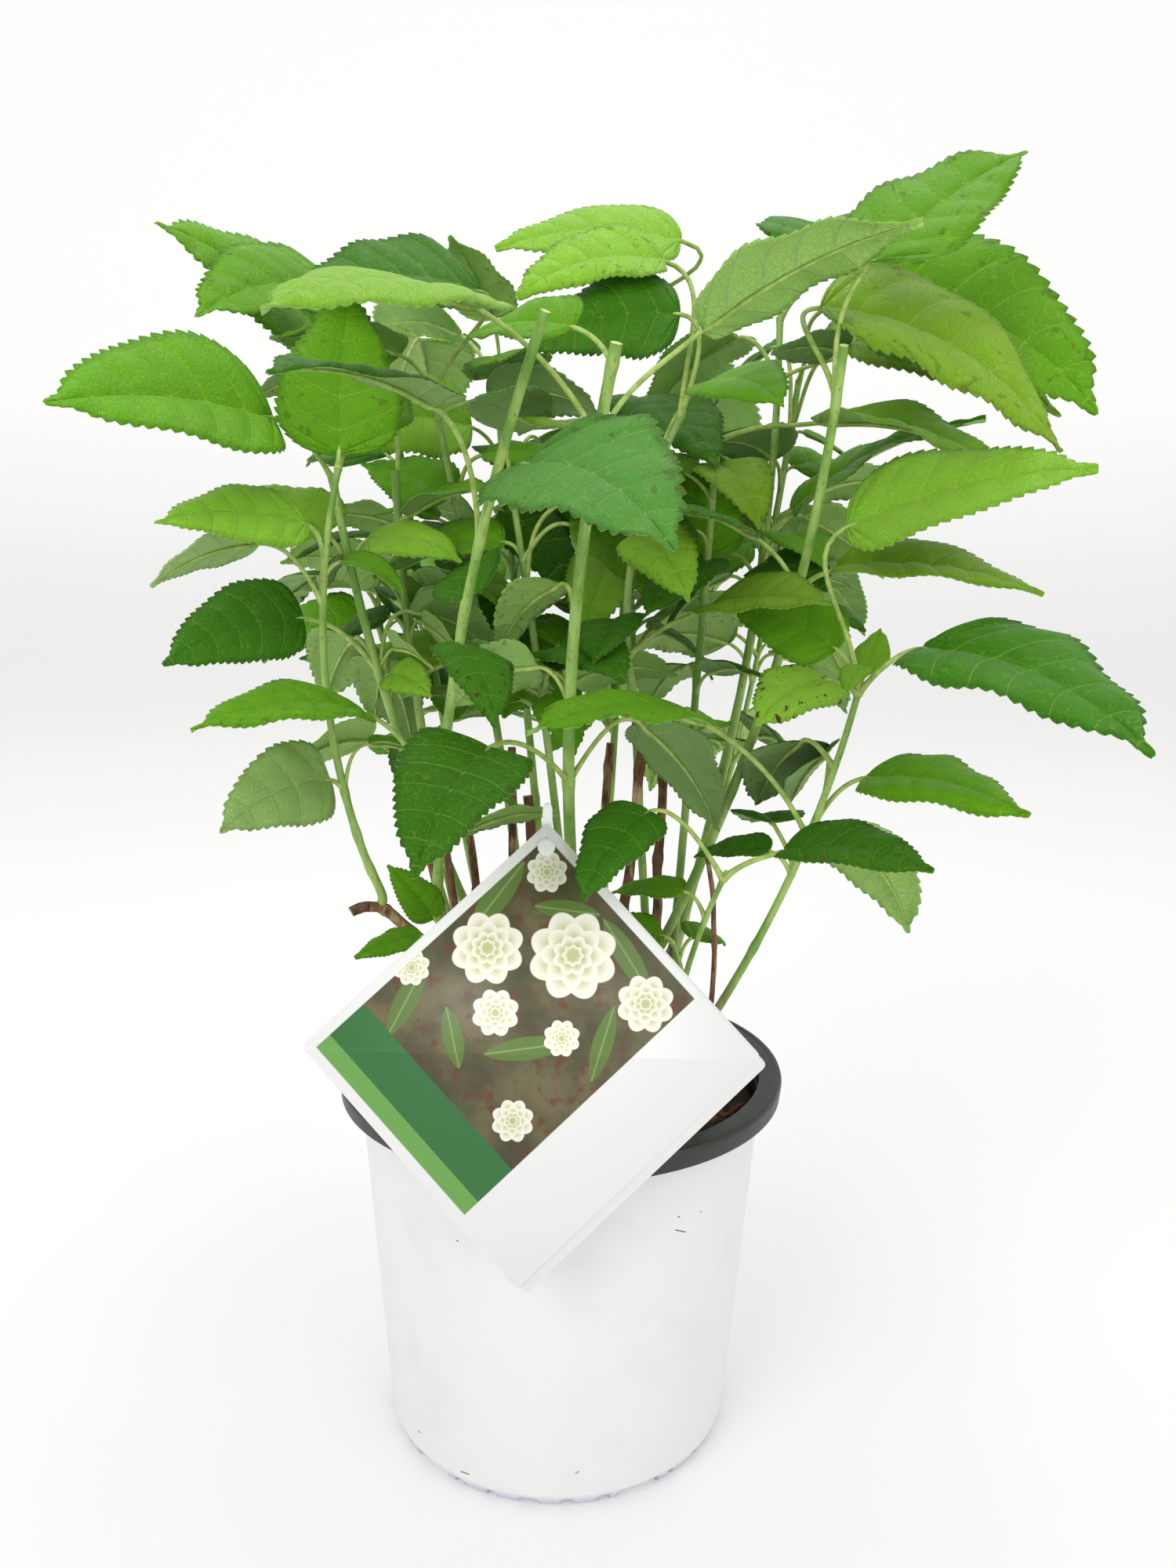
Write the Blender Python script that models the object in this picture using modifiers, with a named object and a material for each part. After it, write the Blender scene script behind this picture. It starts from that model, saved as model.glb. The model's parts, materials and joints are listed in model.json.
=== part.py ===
# A young hydrangea shrub in its nursery pot: white pot with a charcoal rim, bark mix, cut old wood, green stems
# with opposite leaves, and a plant card on a stake. Metres, +Z up. The origin is the middle of the pot's underside,
# +X is the viewer's right and +Y leads away from the viewer. Bearings are level angles from +X towards +Y.
import math
import random

import bmesh
import bpy
from mathutils import Matrix, Vector
from mathutils.bvhtree import BVHTree

MM = 0.001
GAP = 0.3 * MM            # between pieces that touch
UP = Vector((0, 0, 1))

# Pot
POT_HEIGHT = 165 * MM
RIM_OUTER = 99 * MM
RIM_INNER = 89 * MM
RIM_DEPTH = 8 * MM
WALL_TOP_RADIUS = 90 * MM
WALL_FOOT_RADIUS = 78 * MM
STANDING_RADIUS = 74 * MM
FOOT_CHAMFER = 6 * MM
WALL = 1.6 * MM
FLOOR = 3.5 * MM
NOTCH_DEPTH = 2.2 * MM
POT_STEPS = 32
SOIL_TOP = 151 * MM

# Around the foot five sectors repeat, each with six scallops: (width, height) in millimetres
FOOT_SECTORS = 5
FOOT_SCALLOPS = ((5, 4), (5, 4), (9, 3), (5, 4), (5, 4), (20, 5))

# Plant card on its stake
CARD_SIDE = 125 * MM
CARD_BREADTH = 120 * MM   # along its lower left edge
CARD_THICKNESS = 1.2 * MM
CARD_CORNER = 2.5 * MM
CARD_LEAN = 16.0          # degrees back from upright
CARD_TURN = 2.0           # degrees clockwise in its own plane
CARD_CENTRE = Vector((-9.5, -91, 205)) * MM
STAKE_WIDTH = 7 * MM
STAKE_THICKNESS = 1.6 * MM
STAKE_DEPTH = 60 * MM     # below the soil's surface
STAKE_TOP = 8 * MM        # above the card's top corner

# Blade: cross sections at these shares of its length, the first row for leaves over LARGE_LEAF
LARGE_STATIONS = (0.0, 0.14, 0.38, 0.7, 1.0)
SMALL_STATIONS = (0.0, 0.2, 0.62, 1.0)
LARGE_LEAF = 64 * MM
BLADE_HALF_WIDTH = 0.32   # of its length
BLADE_THICKNESS = 0.012   # of its length
THINNEST_BLADE = 0.7 * MM
STALK_RADIUS = 1.1 * MM
STALK_SINK = 0.09         # of the blade's length, how far the stalk runs on under it
LIMB_SIDES = 5
CROWN_FLOOR = 172 * MM
CROWN_REACH = 262 * MM
SEED = 41

# Cut old wood, in millimetres: foot (x, y), cut top (x, y, z), bow of its middle (x, y, z), thickness
OLD_WOOD = {
    "old_wood_arm": ((-12, -14), (-89, -30, 243), (-8, 2, 30), 5.6),
    "old_wood_1": ((-22, 33), (-45, 31, 270), (-2, 0, 0), 4.6),
    "old_wood_2": ((-36, 12), (-70, 18, 308), (-2, 0, 0), 3.6),
    "old_wood_3": ((-14, 21), (-24, 22, 306), (-3, 0, 0), 4.4),
    "old_wood_4": ((18, 22), (21, 32, 307), (-2, 0, 0), 4.6),
    "old_wood_5": ((33, -5), (43, 4, 305), (3, 0, 0), 5.0),
    "old_wood_6": ((27, -12), (34, -3, 314), (-3, 0, 0), 5.2),
    "old_wood_7": ((52, -27), (60, -28, 268), (8, 0, 0), 2.6),
    "old_wood_8": ((-34, -4), (-53, 2, 268), (0, 0, 0), 4.2),
    "old_wood_9": ((-3, -1), (-16, -1, 288), (0, 0, 0), 5.4),
}

# Stems, in millimetres: foot (x, y) on the soil, or the old wood it springs from and how far up; top (x, y, z);
# bow of its middle (x, y); thickness at foot and top; share of it that is bare.
# posed: one row for each leaf that the front of the shrub shows: share up the stem, bearing, stalk length and rise,
# turn of the blade from the stalk's bearing, blade length, slope of the blade at its foot, droop to its tip, roll.
# grown: leaves that follow the rule: share up the stem, bearing, blade length.
STEMS = {
    "stem_1": dict(
        root=("old_wood_arm", 0.78), top=(-90, -32, 424), bow=(-14, 0), girth=(3.6, 2.6), bare=0.22,
        posed=[(0.27, 212, 8, 40, 20, 56, 8, 46, -58), (0.27, 20, 22, 62, 0, 30, 5, 50, 0),
               (0.70, 205, 34, 44, 5, 46, -2, 40, 30), (0.76, 228, 22, 68, -12, 60, 16, 34, -38),
               (0.76, 0, 10, 40, -15, 30, 4, 60, 15), (1.0, 84, 6, 70, 12, 76, 78, 22, 6)],
        grown=[(1.0, 85, 66)]),
    "stem_2": dict(
        root=(-3, 13), top=(-97, -8, 422), bow=(-14, 4), girth=(5.0, 3.4), bare=0.66,
        posed=[(0.70, 206, 40, 36, 12, 62, 4, 42, -52), (0.70, 30, 30, 62, -10, 50, 0, 60, -30),
               (1.0, 214, 34, 42, 18, 98, 10, 26, -48)],
        grown=[(1.0, 60, 78)]),
    "stem_3": dict(
        root=(-31, 23), top=(-75, 20, 427), bow=(-8, 0), girth=(4.4, 3.6), bare=0.68,
        posed=[(0.74, 330, 24, 55, -10, 46, 5, 50, -15), (0.92, 130, 74, 66, 20, 70, 10, 40, -10),
               (0.92, 335, 6, 30, 0, 48, 34, 44, 12)],
        grown=[(0.74, 150, 52)]),
    "stem_4": dict(
        root=("old_wood_arm", 0.46), top=(-8, -102, 470), bow=(-12, 6), girth=(4.2, 3.6), bare=0.16,
        posed=[(0.21, 205, 60, 60, 14, 72, 22, 46, -14), (0.21, 128, 38, 44, -120, 56, 20, 50, 0),
               (0.50, 285, 16, 40, 10, 48, -6, 60, -10), (0.69, 212, 50, 70, 22, 76, 20, 36, -6),
               (0.69, 298, 45, 36, 5, 92, 4, 46, 30)],
        grown=[(0.50, 90, 50)]),
    "stem_5": dict(
        root=(-9, 31), top=(-60, 34, 462), bow=(4, 0), girth=(4.4, 3.0), bare=0.56,
        posed=[(0.60, 20, 12, 50, -10, 56, 60, 20, 0), (0.84, 150, 6, 40, 0, 52, 34, 30, -45),
               (1.0, 345, 48, 62, -125, 86, 10, 36, -40), (1.0, 180, 22, 50, 30, 60, 20, 40, 20)],
        grown=[(0.84, 330, 60), (0.60, 200, 50)]),
    "stem_6": dict(
        root=(19, -13), top=(16, -92, 462), bow=(-16, 14), girth=(5.4, 4.2), bare=0.44,
        posed=[(0.48, 240, 62, 20, 9, 72, -8, 42, -14), (0.90, 208, 62, 40, 25, 94, 10, 40, -14),
               (0.90, 28, 60, 44, -44, 84, 38, 28, -12), (0.98, 150, 20, 40, 0, 46, 20, 40, -40)],
        grown=[(0.48, 60, 60)]),
    "stem_7": dict(
        root=(9, 3), top=(-24, 4, 420), bow=(3, 0), girth=(4.2, 2.8), bare=0.62,
        posed=[(0.66, 290, 26, 45, 0, 58, 10, 60, 10)],
        grown=[(0.66, 110, 56), (0.84, 350, 66), (0.84, 190, 56), (1.0, 100, 74), (1.0, 260, 56)]),
    "stem_8": dict(
        root=(45, 26), top=(28, 60, 432), bow=(-2, 0), girth=(4.4, 3.0), bare=0.68,
        posed=[(0.90, 330, 48, 5, 150, 78, 18, 30, -30)],
        grown=[(0.76, 60, 60), (0.76, 240, 60), (1.0, 290, 72), (1.0, 110, 76)]),
    "stem_9": dict(
        root=(31, 17), top=(94, 46, 498), bow=(16, -4), girth=(4.6, 3.0), bare=0.60,
        posed=[(0.70, 20, 24, 52, -50, 92, 46, 44, 24), (0.92, 335, 30, 22, -120, 42, 10, 36, 25)],
        grown=[(0.92, 150, 70), (1.0, 60, 80), (1.0, 350, 60)]),
    "stem_10": dict(
        root=("old_wood_6", 1.0), top=(46, -12, 448), bow=(-14, 0), girth=(3.8, 2.6), bare=0.18,
        posed=[(0.26, 325, 44, 30, -15, 60, 18, 30, 20), (0.26, 205, 18, 45, 40, 46, -20, 40, 10),
               (0.80, 350, 44, 62, -50, 56, 10, 50, 24), (0.80, 205, 14, 30, -60, 40, 20, 50, -20),
               (1.0, 110, 68, 72, 90, 68, 8, 50, -36), (1.0, 196, 40, 88, -12, 68, 6, 40, -60)],
        grown=[(1.0, 320, 40)]),
    "stem_11": dict(
        root=(10, 12), top=(98, -72, 466), bow=(24, 22), girth=(4.8, 3.4), bare=0.60,
        posed=[(0.72, 10, 18, 30, -40, 82, 12, 36, 14), (0.94, 10, 50, 84, 6, 82, 52, 22, 32),
               (0.94, 97, 45, 58, -107, 110, -2, 58, 36)],
        grown=[(0.72, 190, 60)]),
    "stem_12": dict(
        root=(36, -26), top=(112, -62, 341), bow=(12, 4), girth=(4.0, 2.6), bare=0.60,
        posed=[(0.68, 195, 66, 40, 20, 86, 20, 50, -10), (0.68, 345, 34, 50, -30, 70, 14, 36, 14),
               (1.0, 335, 30, 38, -32, 104, 4, 38, 14), (1.0, 120, 20, 62, 20, 50, 38, 30, -50),
               (1.0, 215, 18, 20, 10, 50, 5, 40, -20), (1.0, 100, 66, 74, -130, 92, 26, 26, 38),
               (1.0, 70, 10, 60, 0, 25, 60, 10, 0), (1.0, 270, 12, 70, -30, 20, 0, 60, 0)],
        grown=[]),
    "stem_13": dict(
        root=(44, -44), top=(64, -62, 270), bow=(-6, 6), girth=(3.0, 2.2), bare=0.68,
        posed=[(0.97, 335, 28, 30, -15, 62, 22, 40, 12), (0.97, 192, 42, 42, 35, 48, -10, 60, -10),
               (0.82, 160, 14, 50, 0, 32, 12, 40, -15)],
        grown=[]),
    "stem_14": dict(
        root=(47, 12), top=(64, 12, 442), bow=(0, 0), girth=(4.2, 2.8), bare=0.66,
        posed=[(0.77, 270, 18, 55, -40, 54, -5, 40, 0), (0.81, 100, 6, 50, 0, 60, 68, 30, 0),
               (1.0, 0, 44, 5, -35, 84, -2, 40, 10)],
        grown=[(0.77, 110, 60), (1.0, 150, 70)]),
    "stem_15": dict(
        root=(41, 40), top=(112, 92, 478), bow=(6, 0), girth=(4.6, 3.0), bare=0.58,
        posed=[(0.92, 291, 62, 34, 32, 102, 0, 44, 22), (1.0, 277, 82, 16, 55, 114, 2, 58, 54)],
        grown=[(0.68, 20, 80), (0.68, 200, 70), (0.92, 110, 84), (1.0, 60, 84)]),
    "stem_16": dict(
        root=(-1, 44), top=(-36, 108, 470), bow=(0, 0), girth=(4.6, 3.0), bare=0.56,
        posed=[(1.0, 284, 46, 20, -25, 62, 24, 34, 10), (1.0, 330, 118, 33, -140, 86, 12, 36, -40),
               (1.0, 240, 38, 84, 10, 54, 46, 30, 0)],
        grown=[(0.62, 150, 70), (0.62, 330, 66), (0.82, 60, 84), (0.82, 240, 80), (1.0, 120, 80)]),
    "stem_17": dict(
        root=(-24, 44), top=(-84, 84, 462), bow=(-4, 0), girth=(4.4, 3.0), bare=0.54,
        posed=[(1.0, 190, 44, 46, 38, 95, 36, 32, -58), (1.0, 238, 58, 46, 0, 90, 0, 44, -40)],
        grown=[(0.62, 140, 66), (0.62, 330, 60), (0.82, 110, 78), (0.82, 290, 70), (1.0, 60, 84)]),
    "stem_18": dict(
        root=(16, 54), top=(34, 132, 446), bow=(0, 0), girth=(4.4, 3.0), bare=0.52,
        posed=[],
        grown=[(0.60, 40, 76), (0.60, 220, 70), (0.80, 130, 84), (0.80, 310, 80), (1.0, 60, 88), (1.0, 240, 84)]),
    "stem_19": dict(
        root=(34, 52), top=(108, 136, 372), bow=(10, 8), girth=(3.8, 2.6), bare=0.52,
        posed=[],
        grown=[(0.60, 120, 62), (0.60, 300, 62), (1.0, 30, 80), (1.0, 210, 76), (1.0, 110, 70)]),
    "stem_20": dict(
        root=(-34, 54), top=(-98, 116, 366), bow=(-8, 8), girth=(3.8, 2.6), bare=0.52,
        posed=[],
        grown=[(0.60, 210, 62), (0.60, 30, 62), (1.0, 140, 80), (1.0, 320, 76), (1.0, 60, 70)]),
    "stem_21": dict(
        root=(-30, -26), top=(-50, -38, 238), bow=(-4, 0), girth=(2.8, 2.2), bare=0.62,
        posed=[(0.96, 205, 9, 10, 5, 30, 4, 26, -14), (1.0, 150, 6, 50, 20, 30, 56, 20, -44)],
        grown=[]),
    "stem_22": dict(
        root=(60, -18), top=(46, -34, 232), bow=(4, 0), girth=(2.6, 2.0), bare=0.62,
        posed=[(1.0, 200, 6, 40, 0, 36, 20, 60, -30), (0.9, 20, 12, 40, 0, 30, 10, 60, 20)],
        grown=[]),
}


def clear_scene():
    for found in list(bpy.data.objects):
        bpy.data.objects.remove(found, do_unlink=True)


def new_collection(name):
    made = bpy.data.collections.new(name)
    bpy.context.scene.collection.children.link(made)
    return made


def principled(name, colour, roughness, metallic=0.0):
    """A plain Principled BSDF material."""
    material = bpy.data.materials.new(name)
    material.use_nodes = True
    shader = material.node_tree.nodes["Principled BSDF"]
    shader.inputs["Base Color"].default_value = (*colour, 1)
    shader.inputs["Roughness"].default_value = roughness
    shader.inputs["Metallic"].default_value = metallic
    return material


def add_object(name, data, collection, material=None):
    made = bpy.data.objects.new(name, data)
    collection.objects.link(made)
    if material:
        data.materials.append(material)
    return made


def evaluated_mesh(source):
    """A plain mesh of what the object shows once its curve and modifiers are evaluated."""
    bpy.context.view_layer.update()
    depsgraph = bpy.context.evaluated_depsgraph_get()
    mesh = bpy.data.meshes.new_from_object(source.evaluated_get(depsgraph))
    mesh.transform(source.matrix_world)
    return mesh


def weld(mesh):
    """Merge the loose caps that a curve leaves on its ends."""
    shape = bmesh.new()
    shape.from_mesh(mesh)
    bmesh.ops.remove_doubles(shape, verts=shape.verts, dist=0.00001)
    shape.to_mesh(mesh)
    shape.free()


def solid(name, shell, collection, material=None):
    """An object from a shell, which is a list of points and a list of faces."""
    points, faces = shell
    mesh = bpy.data.meshes.new(name)
    mesh.from_pydata(points, [], faces)
    return add_object(name, mesh, collection, material)


def turned(name, profile, collection, material, steps=POT_STEPS):
    """A closed profile of (radius, height) turned about Z."""
    mesh = bpy.data.meshes.new(name)
    count = len(profile)
    rings = [(i, (i + 1) % count) for i in range(count)]
    mesh.from_pydata([(radius, 0, height) for radius, height in profile], rings, [])
    made = add_object(name, mesh, collection, material)
    screw = made.modifiers.new("turn", "SCREW")
    screw.steps = screw.render_steps = steps
    screw.use_merge_vertices = True
    screw.merge_threshold = 0.00005
    screw.use_normal_calculate = True
    return made


def tube(points, radii, sides):
    """Shell of a limb of varying radius through the points, its rings carried along without twist."""
    corners, faces = [], []
    across = None
    for index, (point, radius) in enumerate(zip(points, radii)):
        ahead = points[min(index + 1, len(points) - 1)] - points[max(index - 1, 0)]
        ahead.normalize()
        across = ahead.orthogonal() if across is None else across - ahead * across.dot(ahead)
        across.normalize()
        beside = ahead.cross(across)
        for side in range(sides):
            angle = 2 * math.pi * side / sides
            corners.append(point + (across * math.cos(angle) + beside * math.sin(angle)) * radius)
    for ring in range(len(points) - 1):
        first = ring * sides
        for side in range(sides):
            after = (side + 1) % sides
            faces.append((first + side, first + after, first + sides + after, first + sides + side))
    last = (len(points) - 1) * sides
    faces.append(tuple(reversed(range(sides))))
    faces.append(tuple(last + side for side in range(sides)))
    return corners, faces


def level(bearing):
    """Unit vector along the level in this bearing."""
    angle = math.radians(bearing)
    return Vector((math.cos(angle), math.sin(angle), 0))


def heading(bearing, pitch):
    """Unit vector in this bearing, pitched up from the level."""
    angle = math.radians(pitch)
    return level(bearing) * math.cos(angle) + UP * math.sin(angle)


class Limb:
    """A stem or a piece of old wood: a bowed line from foot to top that tapers evenly."""

    def __init__(self, foot, top, bow, girth, foothold=UP):
        self.foot, self.top, self.bow = Vector(foot), Vector(top), Vector(bow)
        self.girth = girth
        self.foothold = foothold    # the way it leaves what it stands on

    def at(self, share):
        return self.foot.lerp(self.top, share) + self.bow * (4 * share * (1 - share))

    def direction(self, share):
        return (self.at(share + 0.01) - self.at(share - 0.01)).normalized()

    def radius(self, share):
        return (self.girth[0] + (self.girth[1] - self.girth[0]) * share) / 2

    def stretch(self, start, end, steps):
        """Points and radii from one share to another."""
        shares = [start + (end - start) * i / steps for i in range(steps + 1)]
        return [self.at(share) for share in shares], [self.radius(share) for share in shares]


def blade_outline(along):
    """Half width of a blade, as a share of its widest, from foot (0) to drawn-out tip (1)."""
    body = math.sin(math.pi * max(along, 0.004) ** 0.62) if along < 1 else 0
    return max(0.035, max(body, 0) ** 0.75 * (1 - 0.25 * along) / 0.93)


class Leaf:
    """One leaf: a stalk from its node, and a blade that arches over from the stalk's end."""

    def __init__(self, node, row, rng):
        _, bearing, stalk, rise, turn, blade, pitch, droop, roll = row
        self.node, self.bearing, self.stalk, self.rise = node, bearing, stalk * MM, rise
        self.turn, self.length, self.pitch, self.droop, self.roll = turn, blade * MM, pitch, max(droop, 1), roll
        self.fold = math.radians(rng.uniform(10, 24))
        self.cup = rng.uniform(0.10, 0.22)
        self.sweep = rng.uniform(-0.07, 0.07)

    def turned(self, bearing, pitch):
        """The same leaf swung round its node and tilted."""
        other = Leaf.__new__(Leaf)
        other.__dict__.update(self.__dict__)
        other.bearing += bearing
        other.rise += pitch
        other.pitch += pitch
        return other

    def base(self):
        return self.node + heading(self.bearing, self.rise) * self.stalk

    def stalk_at(self, share):
        """Point on the stalk, a curve that leaves the stem steeply and meets the blade in line with it."""
        start, end = self.node, self.base()
        first = start + heading(self.bearing, self.rise + 18) * self.stalk * 0.38
        last = end - heading(self.bearing + self.turn, self.pitch) * self.stalk * 0.38
        rest = 1 - share
        return start * rest ** 3 + first * 3 * rest * rest * share + last * 3 * rest * share * share + end * share ** 3

    def rib_at(self, along):
        """Point on the midrib: an even arc that loses the droop from foot to tip."""
        pitch, droop = math.radians(self.pitch), math.radians(self.droop)
        later = pitch - droop * along
        reach = self.length / droop * (math.sin(pitch) - math.sin(later))
        height = self.length / droop * (math.cos(later) - math.cos(pitch))
        ahead = level(self.bearing + self.turn)
        side = UP.cross(ahead)
        return self.base() + ahead * reach + UP * height + side * (self.sweep * self.length * along * along)

    def frame(self, along):
        """Level side and upward normal of the blade here, rolled."""
        forward = heading(self.bearing + self.turn, self.pitch - self.droop * along)
        side = UP.cross(level(self.bearing + self.turn))
        tilt = Matrix.Rotation(math.radians(self.roll), 3, forward)
        return tilt @ side, tilt @ forward.cross(side)

    def blade_at(self, along, across):
        """Point on the blade: across runs from -1, the right edge, to 1, the left edge."""
        side, normal = self.frame(along)
        half = self.length * BLADE_HALF_WIDTH * blade_outline(along)
        fold = self.fold * (1 - 0.35 * along)
        lift = abs(across) * math.sin(fold) - self.cup * across * across
        return self.rib_at(along) + side * (half * across * math.cos(fold)) + normal * (half * lift)


def blade_shell(leaf, thickness):
    """Closed shell of the blade: its upper and lower skins, two lanes wide, and the rim between them."""
    stations = LARGE_STATIONS if leaf.length > LARGE_LEAF else SMALL_STATIONS
    lanes = (-1, 0, 1)
    corners, faces = [], []
    for lift in (0.5, -0.5):
        for along in stations:
            normal = leaf.frame(along)[1]
            corners += [leaf.blade_at(along, across) + normal * (lift * thickness) for across in lanes]
    lower = len(stations) * len(lanes)
    for row in range(len(stations) - 1):
        for lane in range(len(lanes) - 1):
            here = row * len(lanes) + lane
            quad = (here, here + len(lanes), here + len(lanes) + 1, here + 1)
            faces.append(quad)
            faces.append(tuple(lower + corner for corner in reversed(quad)))
    border = [row * len(lanes) for row in range(len(stations) - 1)]
    border += [lower - len(lanes) + lane for lane in range(len(lanes) - 1)]
    border += [row * len(lanes) + len(lanes) - 1 for row in range(len(stations) - 1, 0, -1)]
    border += [lane for lane in range(len(lanes) - 1, 0, -1)]
    for here, after in zip(border, border[1:] + border[:1]):
        faces.append((after, here, lower + here, lower + after))
    return corners, faces


def stalk_line(leaf):
    """Points and radii of the stalk, run on a little way under the blade's midrib."""
    steps = 2 if leaf.stalk < 36 * MM else 3
    radius = min(STALK_RADIUS, 0.55 * MM + leaf.length * 0.009)
    points = [leaf.stalk_at(step / steps) for step in range(steps + 1)] + [leaf.rib_at(STALK_SINK)]
    radii = [radius * 1.25] + [radius] * (steps - 1) + [radius * 0.9, radius * 0.75]
    return points, radii


def blade_thickness(leaf):
    return max(THINNEST_BLADE, leaf.length * BLADE_THICKNESS)


class Thicket:
    """What already stands in the crown, by the stem it belongs to, so that each leaf keeps clear of the rest."""

    def __init__(self):
        self.standing = []

    def add(self, shell, owner, is_limb=False):
        self.standing.append((owner, is_limb, BVHTree.FromPolygons(*shell)))

    def touched(self, shell, others_than):
        """The other owners of whatever the shell touches."""
        probe = BVHTree.FromPolygons(*shell)
        return {owner for owner, _, tree in self.standing if owner != others_than and probe.overlap(tree)}

    def is_free(self, shell, others_than=None, beside=None):
        """Whether it touches nothing; others_than leaves one stem out, beside tests only that stem's leaves."""
        probe = BVHTree.FromPolygons(*shell)
        for owner, is_limb, tree in self.standing:
            if owner == others_than or (beside and (owner != beside or is_limb)):
                continue
            if probe.overlap(tree):
                return False
        return True


TRIES = [(0, 0)] + [(side * bearing, pitch) for bearing in (0, 7, 14, 22, 30, 40)
                    for pitch in (0, 6, -6, 12, -12, 20) for side in (1, -1) if bearing or pitch]


def within_reach(leaf):
    """Whether the blade stays over the pot's rim and inside the crown."""
    places = [leaf.blade_at(along, across) for along in (0.4, 0.7, 1.0) for across in (-1, 0, 1)]
    return all(place.z > CROWN_FLOOR and place.xy.length < CROWN_REACH for place in places)


def settle_leaf(leaf, stem_name, thicket, margin=0.5 * MM):
    """The first pose of the leaf, of a few small turns, that touches nothing; None where there is none."""
    for bearing, pitch in TRIES:
        pose = leaf.turned(bearing, pitch)
        if not within_reach(pose):
            continue
        blade = blade_shell(pose, blade_thickness(pose) + 2 * margin)
        points, radii = stalk_line(pose)
        radii = [radius + margin for radius in radii]
        whole, outer = tube(points, radii, 3), tube(points[1:], radii[1:], 3)
        if (thicket.is_free(blade) and thicket.is_free(whole, others_than=stem_name)
                and thicket.is_free(outer, beside=stem_name)):
            thicket.add(blade, stem_name)
            thicket.add(whole, stem_name)
            return pose
    return None


def grown_rows(stem, rng):
    """Rows by the rule for the leaves that only have a place, a bearing and a length."""
    rows = []
    for share, bearing, blade in stem["grown"]:
        length = blade * rng.uniform(0.9, 1.08)
        rows.append((share, bearing + rng.uniform(-12, 12), length * rng.uniform(0.36, 0.62), rng.uniform(36, 66),
                     rng.uniform(-24, 24), length, rng.uniform(-24, 40), rng.uniform(30, 56),
                     rng.uniform(-52, 52)))
    return rows


def stem_limbs():
    """Every stem and piece of old wood as a Limb, by name."""
    foot_height = SOIL_TOP + GAP
    limbs = {}
    for name, (foot, top, bow, girth) in OLD_WOOD.items():
        start = Vector((foot[0] * MM, foot[1] * MM, foot_height))
        limbs[name] = Limb(start, Vector(top) * MM, Vector(bow) * MM, (girth * MM, girth * MM * 0.86))
    for name, stem in STEMS.items():
        root, girth = stem["root"], [value * MM for value in stem["girth"]]
        if isinstance(root[0], str):
            wood, grain = limbs[root[0]], limbs[root[0]].direction(min(root[1], 0.99))
            if root[1] == 1.0:
                foothold, clear = grain, GAP
            else:
                foothold = (UP - grain * UP.dot(grain)).normalized()
                clear = wood.radius(root[1]) * 0.95 + GAP
            start = wood.at(root[1]) + foothold * clear
        else:
            start, foothold = Vector((root[0] * MM, root[1] * MM, foot_height)), UP
        bow = Vector((*stem["bow"], 0)) * MM
        limbs[name] = Limb(start, Vector(stem["top"]) * MM, bow, girth, foothold)
    return limbs


def foot_line(limb, end, steps):
    """Points and radii from a foot that is square to its foothold, slightly flared, to a share of the limb."""
    points, radii = limb.stretch(0, end, steps)
    points[1:1] = [points[0] + limb.foothold * 2.5 * MM]
    radii[1:1] = [radii[0]]
    radii[0] *= 1.15
    return points, radii


def straight_end(points, radii, direction, run=2.5 * MM):
    """End the line on a short straight run, so that its cut end is square to it."""
    return points + [points[-1] + direction * run], radii + [radii[-1]]


def crumbs(shape, fewest=20):
    """Faces of the slivers that a union leaves beside the body it makes."""
    left, found = set(shape.faces), []
    while left:
        body, edge_of_body = set(), [left.pop()]
        while edge_of_body:
            face = edge_of_body.pop()
            body.add(face)
            for edge in face.edges:
                for beyond in edge.link_faces:
                    if beyond in left:
                        left.remove(beyond)
                        edge_of_body.append(beyond)
        if len(body) < fewest:
            found += body
    return found


def merged(mesh, distance, method):
    """The mesh in triangles with corners closer than the distance merged, and whether it is closed."""
    shape = bmesh.new()
    shape.from_mesh(mesh)
    bmesh.ops.remove_doubles(shape, verts=shape.verts, dist=distance)
    bmesh.ops.triangulate(shape, faces=shape.faces, ngon_method=method)
    bmesh.ops.delete(shape, geom=crumbs(shape), context="FACES")
    closed = all(len(edge.link_faces) == 2 for edge in shape.edges)
    tidy = bpy.data.meshes.new(mesh.name)
    shape.to_mesh(tidy)
    shape.free()
    return tidy, closed


# Solver, merging distance in millimetres and way of cutting the faces into triangles, tried in turn
UNION_TRIES = (("EXACT", 0.02, "BEAUTY"), ("EXACT", 0.02, "EAR_CLIP"), ("EXACT", 0.004, "BEAUTY"),
               ("EXACT", 0.004, "EAR_CLIP"), ("EXACT", 0.001, "BEAUTY"), ("EXACT", 0.001, "EAR_CLIP"),
               ("MANIFOLD", 0.001, "BEAUTY"), ("MANIFOLD", 0.001, "EAR_CLIP"))


def join_mass(name, pieces, collection, material):
    """Fuse a mass's stem, stalks and blades into one closed body with a single union."""
    core, rest = pieces[0], pieces[1:]
    members = bpy.data.collections.new(name + "_pieces")
    bpy.context.scene.collection.children.link(members)
    for piece in rest:
        for home in list(piece.users_collection):
            home.objects.unlink(piece)
        members.objects.link(piece)
    union = core.modifiers.new("union", "BOOLEAN")
    union.operation = "UNION"
    union.operand_type = "COLLECTION"
    union.collection = members
    for solver, distance, method in UNION_TRIES:
        union.solver = solver
        mesh, closed = merged(evaluated_mesh(core), distance * MM, method)
        if closed:
            break
        print(name, "isn't closed with", solver, distance, method)
    for piece in pieces:
        bpy.data.objects.remove(piece)
    bpy.data.collections.remove(members)
    mesh.materials.clear()
    return add_object(name, mesh, collection, material)


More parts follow.
